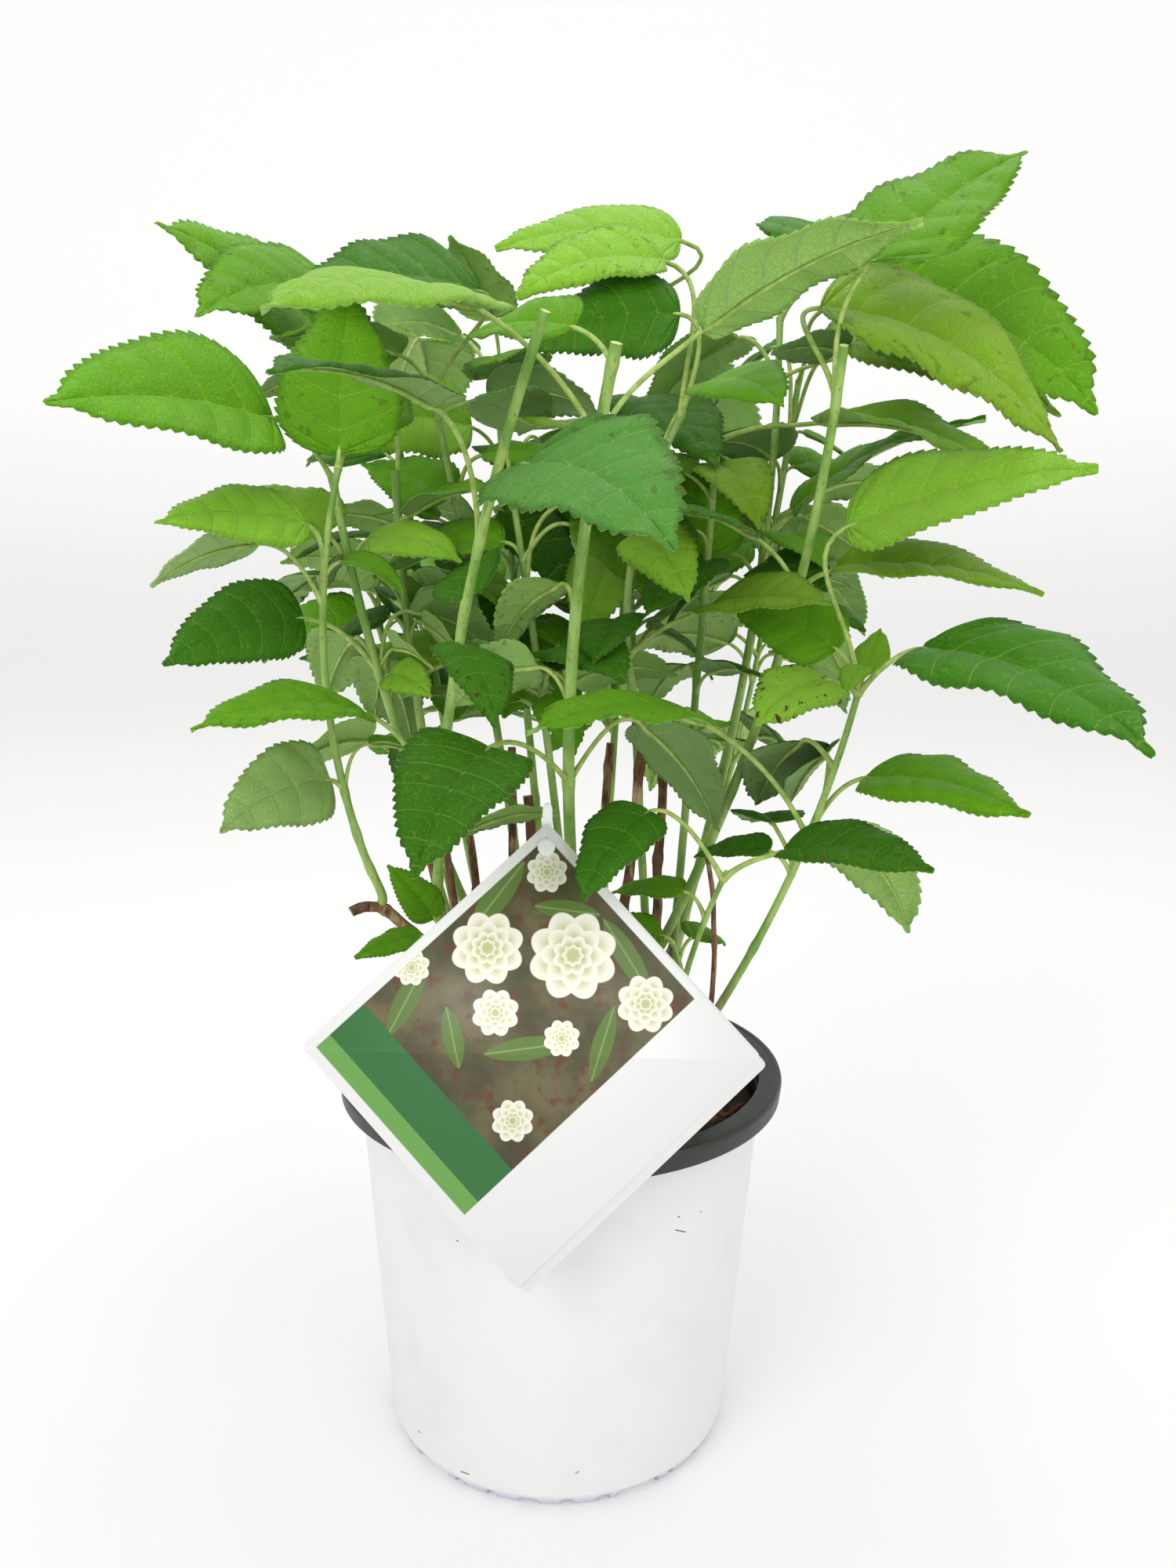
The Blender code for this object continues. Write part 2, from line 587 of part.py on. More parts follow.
def build_plant(collection, materials, neighbours):
    """Old wood, bare lower stems and leafy masses, each its own body, 0.3 mm clear of the next."""
    limbs = stem_limbs()
    thicket = Thicket()
    rng = random.Random(SEED)
    cores = {}
    for neighbour in neighbours:
        mesh = neighbour.data
        thicket.add(([v.co for v in mesh.vertices], [p.vertices for p in mesh.polygons]), neighbour.name)
    for name in OLD_WOOD:
        bent = name == "old_wood_arm"
        shell = tube(*foot_line(limbs[name], 1.0, 10 if bent else 3), 8 if bent else LIMB_SIDES)
        thicket.add(shell, name, is_limb=True)
        solid(name, shell, collection, materials["old_wood"])
    for name, stem in STEMS.items():
        limb, join = limbs[name], stem["bare"]
        ahead = limb.direction(join)
        points, radii = foot_line(limb, join, 3)
        points, radii = straight_end(points, radii, ahead)
        bough = tube(points, radii, LIMB_SIDES)
        start = points[-1] + ahead * GAP
        upper, upper_radii = limb.stretch(join, 1.0, 3)
        upper = [start, start + ahead * 2.5 * MM] + upper[1:]
        upper_radii = [upper_radii[0]] * 2 + upper_radii[1:]
        cores[name] = tube(upper, upper_radii, LIMB_SIDES)
        for shell in (bough, cores[name]):
            if thicket.touched(shell, name):
                print(name, "touches", thicket.touched(shell, name))
            thicket.add(shell, name, is_limb=True)
        solid(name, bough, collection, materials["green_stem"])
    leaves = {name: [] for name in STEMS}
    for kind in ("posed", "grown"):
        for name, stem in STEMS.items():
            for row in stem["posed"] if kind == "posed" else grown_rows(stem, rng):
                leaf = settle_leaf(Leaf(limbs[name].at(min(row[0], 0.995)), row, rng), name, thicket)
                if leaf:
                    leaves[name].append(leaf)
                else:
                    print("no room for a leaf of", name, "bearing", round(row[1]))
    for name in STEMS:
        mass = "leaves_" + name[5:]
        pieces = [solid(mass, cores[name], collection)]
        for leaf in leaves[name]:
            pieces.append(solid("blade", blade_shell(leaf, blade_thickness(leaf)), collection))
            pieces.append(solid("stalk", tube(*stalk_line(leaf), 3), collection))
        join_mass(mass, pieces, collection, materials["leaf"])
    print("leaves", sum(len(found) for found in leaves.values()))


def build_pot(collection, cutters, materials):
    """The pot's tapered wall and flat floor, with its rolled rim as a ring of its own."""
    rim_bottom = POT_HEIGHT - RIM_DEPTH
    wall_top = rim_bottom - GAP
    inner = [(WALL_TOP_RADIUS - WALL, wall_top), (WALL_FOOT_RADIUS - WALL - 2 * MM, FLOOR + 6 * MM),
             (STANDING_RADIUS - 5 * MM, FLOOR), (0, FLOOR)]
    outer = [(0, 0), (STANDING_RADIUS, 0), (STANDING_RADIUS + 2 * MM, 1 * MM), (WALL_FOOT_RADIUS, FOOT_CHAMFER),
             (WALL_TOP_RADIUS, wall_top)]
    pot = turned("pot", outer + inner, collection, materials["pot"])
    add_foot_scallops(pot, cutters)
    bead = 1.6 * MM
    rim = [(RIM_INNER, rim_bottom - 4 * MM), (RIM_INNER, POT_HEIGHT - bead), (RIM_INNER + bead, POT_HEIGHT),
           (RIM_OUTER - 2 * bead, POT_HEIGHT), (RIM_OUTER - 0.5 * bead, POT_HEIGHT - 0.8 * bead),
           (RIM_OUTER, POT_HEIGHT - 2 * bead), (RIM_OUTER - 0.8 * MM, rim_bottom),
           (WALL_TOP_RADIUS - WALL + 0.2 * MM, rim_bottom)]
    rim = rim[1:-1] + [(RIM_INNER, rim_bottom)]
    turned("pot_rim", rim[::-1], collection, materials["rim"])
    soil_wall = WALL + GAP
    soil = [(0, FLOOR + GAP), (STANDING_RADIUS - 5.6 * MM, FLOOR + GAP),
            (WALL_FOOT_RADIUS - WALL - 2.8 * MM, FLOOR + 6 * MM),
            (wall_radius(SOIL_TOP) - soil_wall - 0.4 * MM, SOIL_TOP), (0, SOIL_TOP)]
    return turned("soil", soil, collection, materials["soil"])


def wall_radius(height):
    """Outer radius of the pot's wall at this height."""
    share = (height - FOOT_CHAMFER) / (POT_HEIGHT - RIM_DEPTH - FOOT_CHAMFER)
    return WALL_FOOT_RADIUS + (WALL_TOP_RADIUS - WALL_FOOT_RADIUS) * share


def add_foot_scallops(pot, cutters):
    """Notches and drain recesses around the foot, cut in from the outside."""
    step = 360 / (FOOT_SECTORS * len(FOOT_SCALLOPS))
    shape = bmesh.new()
    for index in range(FOOT_SECTORS * len(FOOT_SCALLOPS)):
        width, height = FOOT_SCALLOPS[index % len(FOOT_SCALLOPS)]
        place = level(index * step - 51) * (STANDING_RADIUS + 6 * MM - NOTCH_DEPTH)
        spin = Matrix.Rotation(math.radians(index * step - 51), 4, "Z")
        size = Matrix.Diagonal((12 * MM, width * MM, 2 * height * MM, 1))
        bmesh.ops.create_cube(shape, size=1, matrix=Matrix.Translation(place) @ spin @ size)
    mesh = bpy.data.meshes.new("foot_scallops")
    shape.to_mesh(mesh)
    shape.free()
    cutter = add_object("foot_scallops", mesh, cutters)
    cutter.hide_render = True
    cutter.display_type = "WIRE"
    cut = pot.modifiers.new("scallops", "BOOLEAN")
    cut.operation = "DIFFERENCE"
    cut.object = cutter


def card_matrix():
    """Place of the card: its own X across and Y up the card, leaning back on the rim."""
    lean = Matrix.Rotation(math.radians(90 - CARD_LEAN), 4, "X")
    turn = Matrix.Rotation(math.radians(-CARD_TURN), 4, "Z")
    return Matrix.Translation(CARD_CENTRE) @ lean @ turn


def build_card(collection, cutters, soil, materials):
    """A nearly square card hung by one corner, and the stake behind it that stands in the soil."""
    half = CARD_SIDE / math.sqrt(2)
    curve = bpy.data.curves.new("card_outline", "CURVE")
    curve.dimensions = "2D"
    curve.fill_mode = "BOTH"
    curve.extrude = CARD_THICKNESS / 2
    spline = curve.splines.new("POLY")
    corners = []
    trim = CARD_CORNER / math.sqrt(2)
    for quarter in range(4):
        out = level(90 - 90 * quarter)
        aside = level(180 - 90 * quarter)
        strip = level(135) * (CARD_SIDE - CARD_BREADTH if quarter in (1, 2) else 0)
        corners += [strip + out * (half - trim) + aside * trim, strip + out * (half - 0.3 * trim),
                    strip + out * (half - trim) - aside * trim]
    spline.points.add(len(corners) - 1)
    for point, corner in zip(spline.points, corners):
        point.co = (*corner, 1)
    spline.use_cyclic_u = True
    guide = add_object("card_guide", curve, cutters)
    guide.matrix_world = card_matrix()
    mesh = evaluated_mesh(guide)
    bpy.data.objects.remove(guide)
    weld(mesh)
    card = add_object("tag_card", mesh, collection, materials["card"])

    frame = card_matrix()
    seat = frame @ Vector((0, half - 0.3 * trim, -CARD_THICKNESS / 2))
    top = seat + Vector((0, GAP + STAKE_THICKNESS / 2 - 0.2 * MM, STAKE_TOP))
    bottom = Vector((top.x - 3 * MM, top.y + 6 * MM, SOIL_TOP - STAKE_DEPTH))
    sizes = ((STAKE_WIDTH, STAKE_THICKNESS, 0.0), (STAKE_WIDTH + 1.2 * MM, STAKE_THICKNESS + 1.2 * MM, 0.6 * MM))
    made = []
    for width, thickness, extra in sizes:
        shape = bmesh.new()
        bmesh.ops.create_cube(shape, size=1)
        for vertex in shape.verts:
            end = top if vertex.co.z > 0 else bottom - UP * extra
            narrow = 0.55 if vertex.co.z > 0 else 1.0
            vertex.co = end + Vector((vertex.co.x * width * narrow, vertex.co.y * thickness, 0))
        mesh = bpy.data.meshes.new("tag_stake")
        shape.to_mesh(mesh)
        shape.free()
        made.append(mesh)
    stake = add_object("tag_stake", made[0], collection, materials["stake"])
    slot = add_object("stake_slot", made[1], cutters)
    slot.hide_render = True
    slot.display_type = "WIRE"
    cut = soil.modifiers.new("stake slot", "BOOLEAN")
    cut.operation = "DIFFERENCE"
    cut.object = slot
    return card, stake


def main():
    clear_scene()
    plant = new_collection("Hydrangea")
    cutters = new_collection("Cutters")
    materials = {
        "pot": principled("pot_white", (0.86, 0.86, 0.88), 0.45),
        "rim": principled("rim_charcoal", (0.035, 0.037, 0.04), 0.4),
        "soil": principled("bark_mix", (0.06, 0.03, 0.018), 0.95),
        "old_wood": principled("old_bark", (0.16, 0.085, 0.05), 0.85),
        "green_stem": principled("green_stem", (0.33, 0.48, 0.16), 0.55),
        "leaf": principled("leaf_green", (0.12, 0.33, 0.05), 0.5),
        "card": principled("card_white", (0.85, 0.85, 0.85), 0.35),
        "stake": principled("stake_white", (0.88, 0.88, 0.88), 0.4),
    }
    soil = build_pot(plant, cutters, materials)
    neighbours = build_card(plant, cutters, soil, materials)
    build_plant(plant, materials, neighbours)


main()
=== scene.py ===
# %% [markdown]
# # A young hydrangea in its nursery pot
# This lesson dresses a plain CAD model of a potted shrub. The real plant is a young garden hydrangea in a
# white pot with a charcoal rim, with last year's wood cut back, fresh green stems and broad toothed leaves.
# The frame below holds the solids. Each cell replaces some of them with a finished piece in the same place.

# %% Load the frame
import copy
import json
import math
import random

import bmesh
import bpy
import numpy as np
from mathutils import Matrix, Vector, noise
from mathutils.bvhtree import BVHTree

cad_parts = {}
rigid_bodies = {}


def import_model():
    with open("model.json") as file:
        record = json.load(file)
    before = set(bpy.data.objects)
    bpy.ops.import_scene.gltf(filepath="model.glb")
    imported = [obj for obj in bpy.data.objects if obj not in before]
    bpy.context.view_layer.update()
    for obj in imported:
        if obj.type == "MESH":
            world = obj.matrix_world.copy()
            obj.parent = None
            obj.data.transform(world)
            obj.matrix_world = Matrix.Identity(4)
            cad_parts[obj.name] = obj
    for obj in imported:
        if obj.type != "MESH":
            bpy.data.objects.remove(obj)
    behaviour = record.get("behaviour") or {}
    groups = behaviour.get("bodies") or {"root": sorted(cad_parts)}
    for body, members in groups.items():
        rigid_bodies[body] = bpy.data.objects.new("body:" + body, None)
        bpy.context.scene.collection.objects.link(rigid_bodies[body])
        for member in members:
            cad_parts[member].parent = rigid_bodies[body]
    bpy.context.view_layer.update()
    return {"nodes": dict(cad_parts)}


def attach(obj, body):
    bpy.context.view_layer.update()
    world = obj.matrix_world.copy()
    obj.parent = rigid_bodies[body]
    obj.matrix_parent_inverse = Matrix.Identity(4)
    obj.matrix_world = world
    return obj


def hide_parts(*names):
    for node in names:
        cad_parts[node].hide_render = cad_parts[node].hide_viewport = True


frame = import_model()
MM = 0.001
UP = Vector((0, 0, 1))

# %% [markdown]
# ## Camera, floor and light
# The photograph was taken from a little above the middle of the crown, looking down by ten degrees. The
# camera's place, tilt and focal length were worked out from the ellipses of the pot and the corners of the
# card. A pale floor that sweeps up behind gives the plain studio ground, and broad lamps give its soft
# light.

# %% Camera
CAMERA_AT = Vector((0.0, -0.5274, 0.3861))
CAMERA_TILT = 9.97        # degrees down
CAMERA_PAN = 1.11         # degrees towards +X
CAMERA_ROLL = 0.81        # degrees
FOCAL_PIXELS = 1560
PHOTO_SIZE = (1500, 2000)


def camera_turn(tilt, pan, roll):
    """Rotation of a camera that looks along +Y, turned by pan, tilted down and rolled, all in degrees."""
    tilt, pan, roll = (math.radians(angle) for angle in (tilt, pan, roll))
    ahead = Vector((math.sin(pan) * math.cos(tilt), math.cos(pan) * math.cos(tilt), -math.sin(tilt)))
    right = ahead.cross(UP).normalized()
    above = right.cross(ahead)
    across = right * math.cos(roll) + above * math.sin(roll)
    upward = above * math.cos(roll) - right * math.sin(roll)
    return Matrix((across, upward, -ahead)).transposed()


camera = bpy.data.objects.new("camera", bpy.data.cameras.new("camera"))
bpy.context.scene.collection.objects.link(camera)
turn = camera_turn(CAMERA_TILT, CAMERA_PAN, CAMERA_ROLL)
camera.matrix_world = Matrix.Translation(CAMERA_AT) @ turn.to_4x4()
camera.data.sensor_width = 36
camera.data.lens = FOCAL_PIXELS / max(PHOTO_SIZE) * camera.data.sensor_width
camera.data.clip_start = 0.01
bpy.context.scene.camera = camera
print("lens", round(camera.data.lens, 2), "mm")

# %% [markdown]
# ## Shader maths
# A material is a graph of nodes, and formulas are easier to read as formulas. The small class below wraps a
# node's output, so that Python's own operators add the Math nodes, and one function adds any other node.

# %% Shader expressions


class Value:
    """An output socket to calculate with: each operator adds a Math node to its tree."""

    def __init__(self, tree, socket):
        self.tree, self.socket = tree, socket

    def math(self, operation, *others):
        return add_node(self.tree, "ShaderNodeMath", {"operation": operation}, [self, *others])

    def __add__(self, other):
        return self.math("ADD", other)

    def __sub__(self, other):
        return self.math("SUBTRACT", other)

    def __rsub__(self, other):
        return add_node(self.tree, "ShaderNodeMath", {"operation": "SUBTRACT"}, [other, self])

    def __mul__(self, other):
        return self.math("MULTIPLY", other)

    def __truediv__(self, other):
        return self.math("DIVIDE", other)

    def __pow__(self, other):
        return self.math("POWER", other)

    def __abs__(self):
        return self.math("ABSOLUTE")

    __radd__, __rmul__ = __add__, __mul__

    def clamped(self):
        return self.math("MAXIMUM", 0.0).math("MINIMUM", 1.0)

    def rise(self, low, high):
        """0 up to low, 1 from high on, smooth between."""
        return add_node(self.tree, "ShaderNodeMapRange", {"interpolation_type": "SMOOTHSTEP"},
                        {0: self, 1: low, 2: high})

    def band(self, low, high, soft):
        """1 between low and high, with soft edges."""
        return self.rise(low - soft, low + soft) - self.rise(high - soft, high + soft)


def add_node(tree, kind, settings=None, inputs=None, output=0):
    """Any node: its settings first, then the values or links of its sockets. Gives the wanted output."""
    made = tree.nodes.new(kind)
    for name, value in (settings or {}).items():
        setattr(made, name, value)
    pairs = enumerate(inputs) if isinstance(inputs, list) else (inputs or {}).items()
    for key, value in pairs:
        if isinstance(value, Value):
            tree.links.new(value.socket, made.inputs[key])
        else:
            made.inputs[key].default_value = value
    return Value(tree, made.outputs[output])


print("shader expressions ready")

# %% [markdown]
# Every finish starts from a Principled shader. The class below keeps the material's node tree and gives
# short names to the nodes that the finishes of this shrub need: coordinates, attributes, noise, cells, a
# mix of two colours and a bump. Colours are given as they are read off a screen and turned linear.

# %% Finishes


class Finish:
    """A material with a Principled shader, and short names for the nodes its finish needs."""

    def __init__(self, name, roughness=0.5, **constants):
        self.material = bpy.data.materials.new(name)
        self.material.use_nodes = True
        self.tree = self.material.node_tree
        self.shader = self.tree.nodes["Principled BSDF"]
        self.shader.inputs["Roughness"].default_value = roughness
        for socket, value in constants.items():
            self.shader.inputs[socket.replace("_", " ")].default_value = value

    def place(self, stretch=(1, 1, 1)):
        """Object coordinates, stretched."""
        where = add_node(self.tree, "ShaderNodeTexCoord", output=3)
        return add_node(self.tree, "ShaderNodeMapping", {}, {"Vector": where, "Scale": stretch})

    def uv(self, name, stretch=(1, 1, 1)):
        where = add_node(self.tree, "ShaderNodeUVMap", {"uv_map": name})
        return add_node(self.tree, "ShaderNodeMapping", {}, {"Vector": where, "Scale": stretch})

    def axis(self, vector, index):
        return add_node(self.tree, "ShaderNodeSeparateXYZ", {}, {0: vector}, index)

    def attribute(self, name):
        return add_node(self.tree, "ShaderNodeAttribute", {"attribute_name": name}, output=2)

    def noise(self, vector, scale, detail=3.0, rough=0.55):
        return add_node(self.tree, "ShaderNodeTexNoise", {},
                        {"Vector": vector, "Scale": scale, "Detail": detail, "Roughness": rough})

    def cells(self, vector, scale, feature="DISTANCE_TO_EDGE", randomness=1.0):
        return add_node(self.tree, "ShaderNodeTexVoronoi", {"feature": feature},
                        {"Vector": vector, "Scale": scale, "Randomness": randomness})

    def mix(self, share, first, second):
        """Between two colours, each a triple or a link."""
        first, second = ((*colour, 1) if isinstance(colour, tuple) else colour for colour in (first, second))
        return add_node(self.tree, "ShaderNodeMix", {"data_type": "RGBA"}, {0: share, 6: first, 7: second}, 2)

    def colour(self, colour):
        if isinstance(colour, Value):
            self.tree.links.new(colour.socket, self.shader.inputs["Base Color"])
        else:
            self.shader.inputs["Base Color"].default_value = (*colour, 1)
        return self

    def roughness(self, value):
        self.tree.links.new(value.socket, self.shader.inputs["Roughness"])
        return self

    def bump(self, height, distance, strength=1.0):
        """Relief of this height in metres, told to the shader's normal."""
        bumped = add_node(self.tree, "ShaderNodeBump", {}, {"Strength": strength, "Distance": distance,
                                                           "Height": height})
        self.tree.links.new(bumped.socket, self.shader.inputs["Normal"])
        return self


def srgb(red, green, blue):
    """A colour read off in 0 to 255, as the linear values that shaders use."""
    def linear(value):
        value /= 255
        return value / 12.92 if value <= 0.04045 else ((value + 0.055) / 1.055) ** 2.4
    return linear(red), linear(green), linear(blue)


print("finishes ready")

# %% [markdown]
# Small helpers for meshes: one puts a mesh in the scene, one turns what modifiers show into a plain mesh,
# and one hands the finished piece to the frame. A finished piece sits at the origin with its place in its
# mesh.

# %% Mesh helpers


def show(name, mesh, *materials):
    made = bpy.data.objects.new(name, mesh)
    bpy.context.scene.collection.objects.link(made)
    for material in materials:
        mesh.materials.append(material)
    return made


def baked(source, name, *materials):
    """A plain mesh object of what the source's modifiers show. The source is removed."""
    bpy.context.view_layer.update()
    depsgraph = bpy.context.evaluated_depsgraph_get()
    mesh = bpy.data.meshes.new_from_object(source.evaluated_get(depsgraph))
    mesh.transform(source.matrix_world)
    bpy.data.objects.remove(source)
    mesh.name = name
    if materials:
        mesh.materials.clear()
    return show(name, mesh, *materials)


def hand_over(piece, slot, *nodes):
    """Let the piece ride on the plant and stand for the CAD nodes. The slot is not used."""
    piece.data.shade_smooth()
    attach(piece, "root")
    if nodes:
        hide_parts(*nodes)
    triangles = sum(len(polygon.vertices) - 2 for polygon in piece.data.polygons)
    print(piece.name, triangles, "triangles")
    return piece


def rounded(corners, radii, steps=5):
    """A closed outline of 2D corners with each corner rounded by an arc of its radius."""
    outline = []
    for index, (corner, radius) in enumerate(zip(corners, radii)):
        here = Vector(corner)
        back = (Vector(corners[index - 1]) - here)
        ahead = (Vector(corners[(index + 1) % len(corners)]) - here)
        if radius == 0:
            outline.append(here)
            continue
        half = back.angle(ahead) / 2
        run = min(radius / math.tan(half), 0.45 * back.length, 0.45 * ahead.length)
        start, end = here + back.normalized() * run, here + ahead.normalized() * run
        for step in range(steps + 1):
            share = step / steps
            rest = 1 - share
            outline.append(start * rest ** 2 + here * (2 * rest * share) + end * share ** 2)
    return outline


def ring_faces(count, rings):
    """Faces that join rings of this many corners one after another, and close both ends."""
    faces = []
    for ring in range(rings - 1):
        first = ring * count
        for side in range(count):
            after = (side + 1) % count
            faces.append((first + side, first + after, first + count + after, first + count + side))
    last = (rings - 1) * count
    return faces + [tuple(reversed(range(count))), tuple(last + side for side in range(count))]


def turned(name, outline, steps):
    """A closed outline of (radius, height) turned about Z, as a plain closed mesh."""
    mesh = bpy.data.meshes.new(name)
    count = len(outline)
    corners, faces = [], []
    for step in range(steps):
        angle = 2 * math.pi * step / steps
        corners += [(point[0] * math.cos(angle), point[0] * math.sin(angle), point[1]) for point in outline]
        after = (step + 1) % steps
        faces += [(step * count + i, after * count + i, after * count + (i + 1) % count,
                   step * count + (i + 1) % count) for i in range(count)]
    mesh.from_pydata(corners, [], faces)
    shape = bmesh.new()
    shape.from_mesh(mesh)
    bmesh.ops.remove_doubles(shape, verts=shape.verts, dist=1e-6)
    bmesh.ops.recalc_face_normals(shape, faces=shape.faces)
    shape.to_mesh(mesh)
    shape.free()
    return mesh


print("mesh helpers ready")

# %% [markdown]
# The floor sweeps up far behind the plant, so no horizon shows. It is no part of the plant. Broad lamps from
# the upper left, the right and above leave only soft shadows.

# %% Floor and light
SWEEP_FRONT, SWEEP_BACK, SWEEP_RADIUS, SWEEP_HALF_WIDTH = -4.0, 3.0, 1.6, 6.0


def sweep():
    """A floor that bends up into a back wall."""
    line = [(SWEEP_FRONT, 0.0)]
    line += [(SWEEP_BACK + SWEEP_RADIUS * math.sin(math.radians(angle)),
              SWEEP_RADIUS * (1 - math.cos(math.radians(angle)))) for angle in range(0, 91, 6)]
    line.append((SWEEP_BACK + SWEEP_RADIUS, 6.0))
    corners = [(x, y, z) for y, z in line for x in (-SWEEP_HALF_WIDTH, SWEEP_HALF_WIDTH)]
    faces = [(2 * i, 2 * i + 1, 2 * i + 3, 2 * i + 2) for i in range(len(line) - 1)]
    mesh = bpy.data.meshes.new("floor")
    mesh.from_pydata(corners, [], faces)
    mesh.shade_smooth()
    return mesh


# Painted shade: the paper is darker at floor level and lighter up the sweep. It also glows faintly.
paper = Finish("floor_paper", 0.9, Emission_Color=(1, 1, 1, 1), Emission_Strength=0.22)
paper.colour(paper.mix(paper.axis(paper.place(), 2).rise(0, 1.2), (0.68, 0.685, 0.68), (0.88, 0.88, 0.88)))
floor = show("floor", sweep(), paper.material)


def lamp(name, place, size, power, target=(0, 0, 0.3)):
    data = bpy.data.lights.new(name, "AREA")
    data.shape = "DISK"
    data.size = size
    data.energy = power
    made = bpy.data.objects.new(name, data)
    bpy.context.scene.collection.objects.link(made)
    made.location = place
    made.rotation_euler = (Vector(target) - Vector(place)).to_track_quat("-Z", "Y").to_euler()


lamp("key", (-1.3, -1.7, 1.5), 1.6, 21)
lamp("fill", (1.5, -1.6, 0.7), 1.8, 11)
lamp("above", (0.2, 0.5, 2.2), 1.6, 12)
world = bpy.data.worlds.new("studio")
world.use_nodes = True
world.node_tree.nodes["Background"].inputs["Color"].default_value = (1.0, 1.0, 0.99, 1)
world.node_tree.nodes["Background"].inputs["Strength"].default_value = 0.8
bpy.context.scene.world = world
bpy.context.scene.view_settings.view_transform = "Standard"
print("stage and lamps set")

# %% [markdown]
# ## Geometry Nodes from Python
# Stems, bark chips and stalks repeat one shape along many lines or over a surface, which is what Geometry
# Nodes are for. Each tree is built here with named inputs and ends by making its instances real. The result
# is turned into a plain mesh before the piece is handed over.

# %% Node tree helpers


def new_tree(name, inputs):
    """A Geometry Nodes tree with a Geometry input and these named inputs, given as Values by name."""
    tree = bpy.data.node_groups.new(name, "GeometryNodeTree")
    tree.interface.new_socket("Geometry", in_out="OUTPUT", socket_type="NodeSocketGeometry")
    tree.interface.new_socket("Geometry", in_out="INPUT", socket_type="NodeSocketGeometry")
    for label, kind in inputs.items():
        tree.interface.new_socket(label, in_out="INPUT", socket_type="NodeSocket" + kind)
    start = tree.nodes.new("NodeGroupInput")
    return tree, {socket.name: Value(tree, socket) for socket in start.outputs if socket.name}


def end_tree(tree, geometry, material):
    """Make the instances real, set the material and lead the result out."""
    real = add_node(tree, "GeometryNodeRealizeInstances", {}, [geometry])
    painted = add_node(tree, "GeometryNodeSetMaterial", {}, {"Geometry": real, "Material": material})
    tree.links.new(painted.socket, tree.nodes.new("NodeGroupOutput").inputs[0])


def grown(source, tree, name, values, *materials):
    """Run the tree on the source with these input values, and keep the result as a plain mesh."""
    modifier = source.modifiers.new(tree.name, "NODES")
    modifier.node_group = tree
    for item in tree.interface.items_tree:
        if item.in_out == "INPUT" and item.name in values:
            modifier[item.identifier] = values[item.name]
    return baked(source, name, *materials)


print("node tree helpers ready")

# %% [markdown]
# ## The pot
# The pot is a thin tapered wall on a flat floor. An outline of radius and height is turned about the axis,
# inside and outside in one go, and its poles close by merging. Its foot is scalloped: thirty notches in
# five equal sectors. The wall is white outside and charcoal inside, so its material compares the distance
# from the axis with the middle of the wall. A few scuffs sit where the photograph shows them, each a
# bearing, a height, a length and a slope.

# %% Pot finish
RIM_BOTTOM = 157 * MM
WALL = 1.6 * MM
FOOT_RADIUS, FOOT_TOP, TOP_RADIUS = 78 * MM, 6 * MM, 90 * MM
SOIL_TOP = 151 * MM
GAP = 0.3 * MM            # between solids that stand on one another
CHARCOAL = srgb(34, 36, 35)
SCUFFS = ((-120, 9, 4.0, 0.1, 0.35), (-56, 123, 6.0, -0.5, 0.3), (-57, 130, 0.5, 0, 0.4),
          (-49, 128, 0.4, 0, 0.35), (-118, 121, 0.5, 0, 0.35), (-84, 18, 1.6, 0.8, 0.25),
          (-140, 15, 2.5, 0.2, 0.25))


def wall_radius(height):
    """Outer radius of the wall at this height."""
    return FOOT_RADIUS + (TOP_RADIUS - FOOT_RADIUS) * (height - FOOT_TOP) / (RIM_BOTTOM - FOOT_TOP)


white = Finish("pot_plastic", 0.42, Specular_IOR_Level=0.4)
spot = white.place()
px, py, pz = (white.axis(spot, index) for index in range(3))
from_axis = (px ** 2.0 + py ** 2.0) ** 0.5
taper = (TOP_RADIUS - FOOT_RADIUS) / (RIM_BOTTOM - FOOT_TOP)
outside = (from_axis - (pz * taper + (wall_radius(0) - WALL / 2))).rise(-0.3 * MM, 0.3 * MM)
outside = (outside + 1 - pz.rise(7 * MM, 8 * MM)).clamped()
scuffed = None
for bearing, height, length, slope, half_width in SCUFFS:
    turn, lie = math.radians(bearing), math.atan(slope)
    around = py * math.cos(turn) - px * math.sin(turn)
    above = pz - height * MM
    run = around * math.cos(lie) + above * math.sin(lie)
    beside = above * math.cos(lie) - around * math.sin(lie)
    past = (abs(run) - length / 2 * MM).math("MAXIMUM", 0.0)
    mark = 1 - ((past ** 2.0 + beside ** 2.0) ** 0.5).rise(half_width * 0.5 * MM, half_width * 1.3 * MM)
    scuffed = mark if scuffed is None else scuffed + mark
rubbed = white.noise(spot, 900, 2).rise(0.72, 0.8) * (1 - pz.rise(4 * MM, 16 * MM)) * 0.5
dusty = white.noise(spot, 30, 4).rise(0.5, 0.75)
shell = white.mix(dusty * 0.3, srgb(222, 223, 222), srgb(208, 208, 212))
# Painted shade: the lowest few millimetres are lavender-grey, where the foot turns in over the floor.
shell = white.mix(pz.rise(1 * MM, 7 * MM), srgb(190, 188, 204), shell)
shell = white.mix((scuffed + rubbed).clamped() * outside, shell, srgb(92, 92, 96))
white.colour(white.mix(outside, CHARCOAL, shell))
white.roughness(dusty * 0.1 + 0.4).bump(white.noise(spot, 500, 3), 0.02 * MM)
print("scuffs", len(SCUFFS))

# %% [markdown]
# Notches are cut with a Boolean modifier. Each cutter is a short prism with a rounded outline, and all
# thirty are one mesh, so the cut is made in one go and the turned wall stays simple.

# %% Pot wall
POT_STEPS = 160
FOOT_SECTORS = 5
FOOT_SCALLOPS = ((5, 4), (5, 4), (9, 3), (5, 4), (5, 4), (20, 5))     # width and height in millimetres
FIRST_SCALLOP = -51       # degrees
NOTCH_RADIUS = (71.8 * MM, 83.8 * MM)


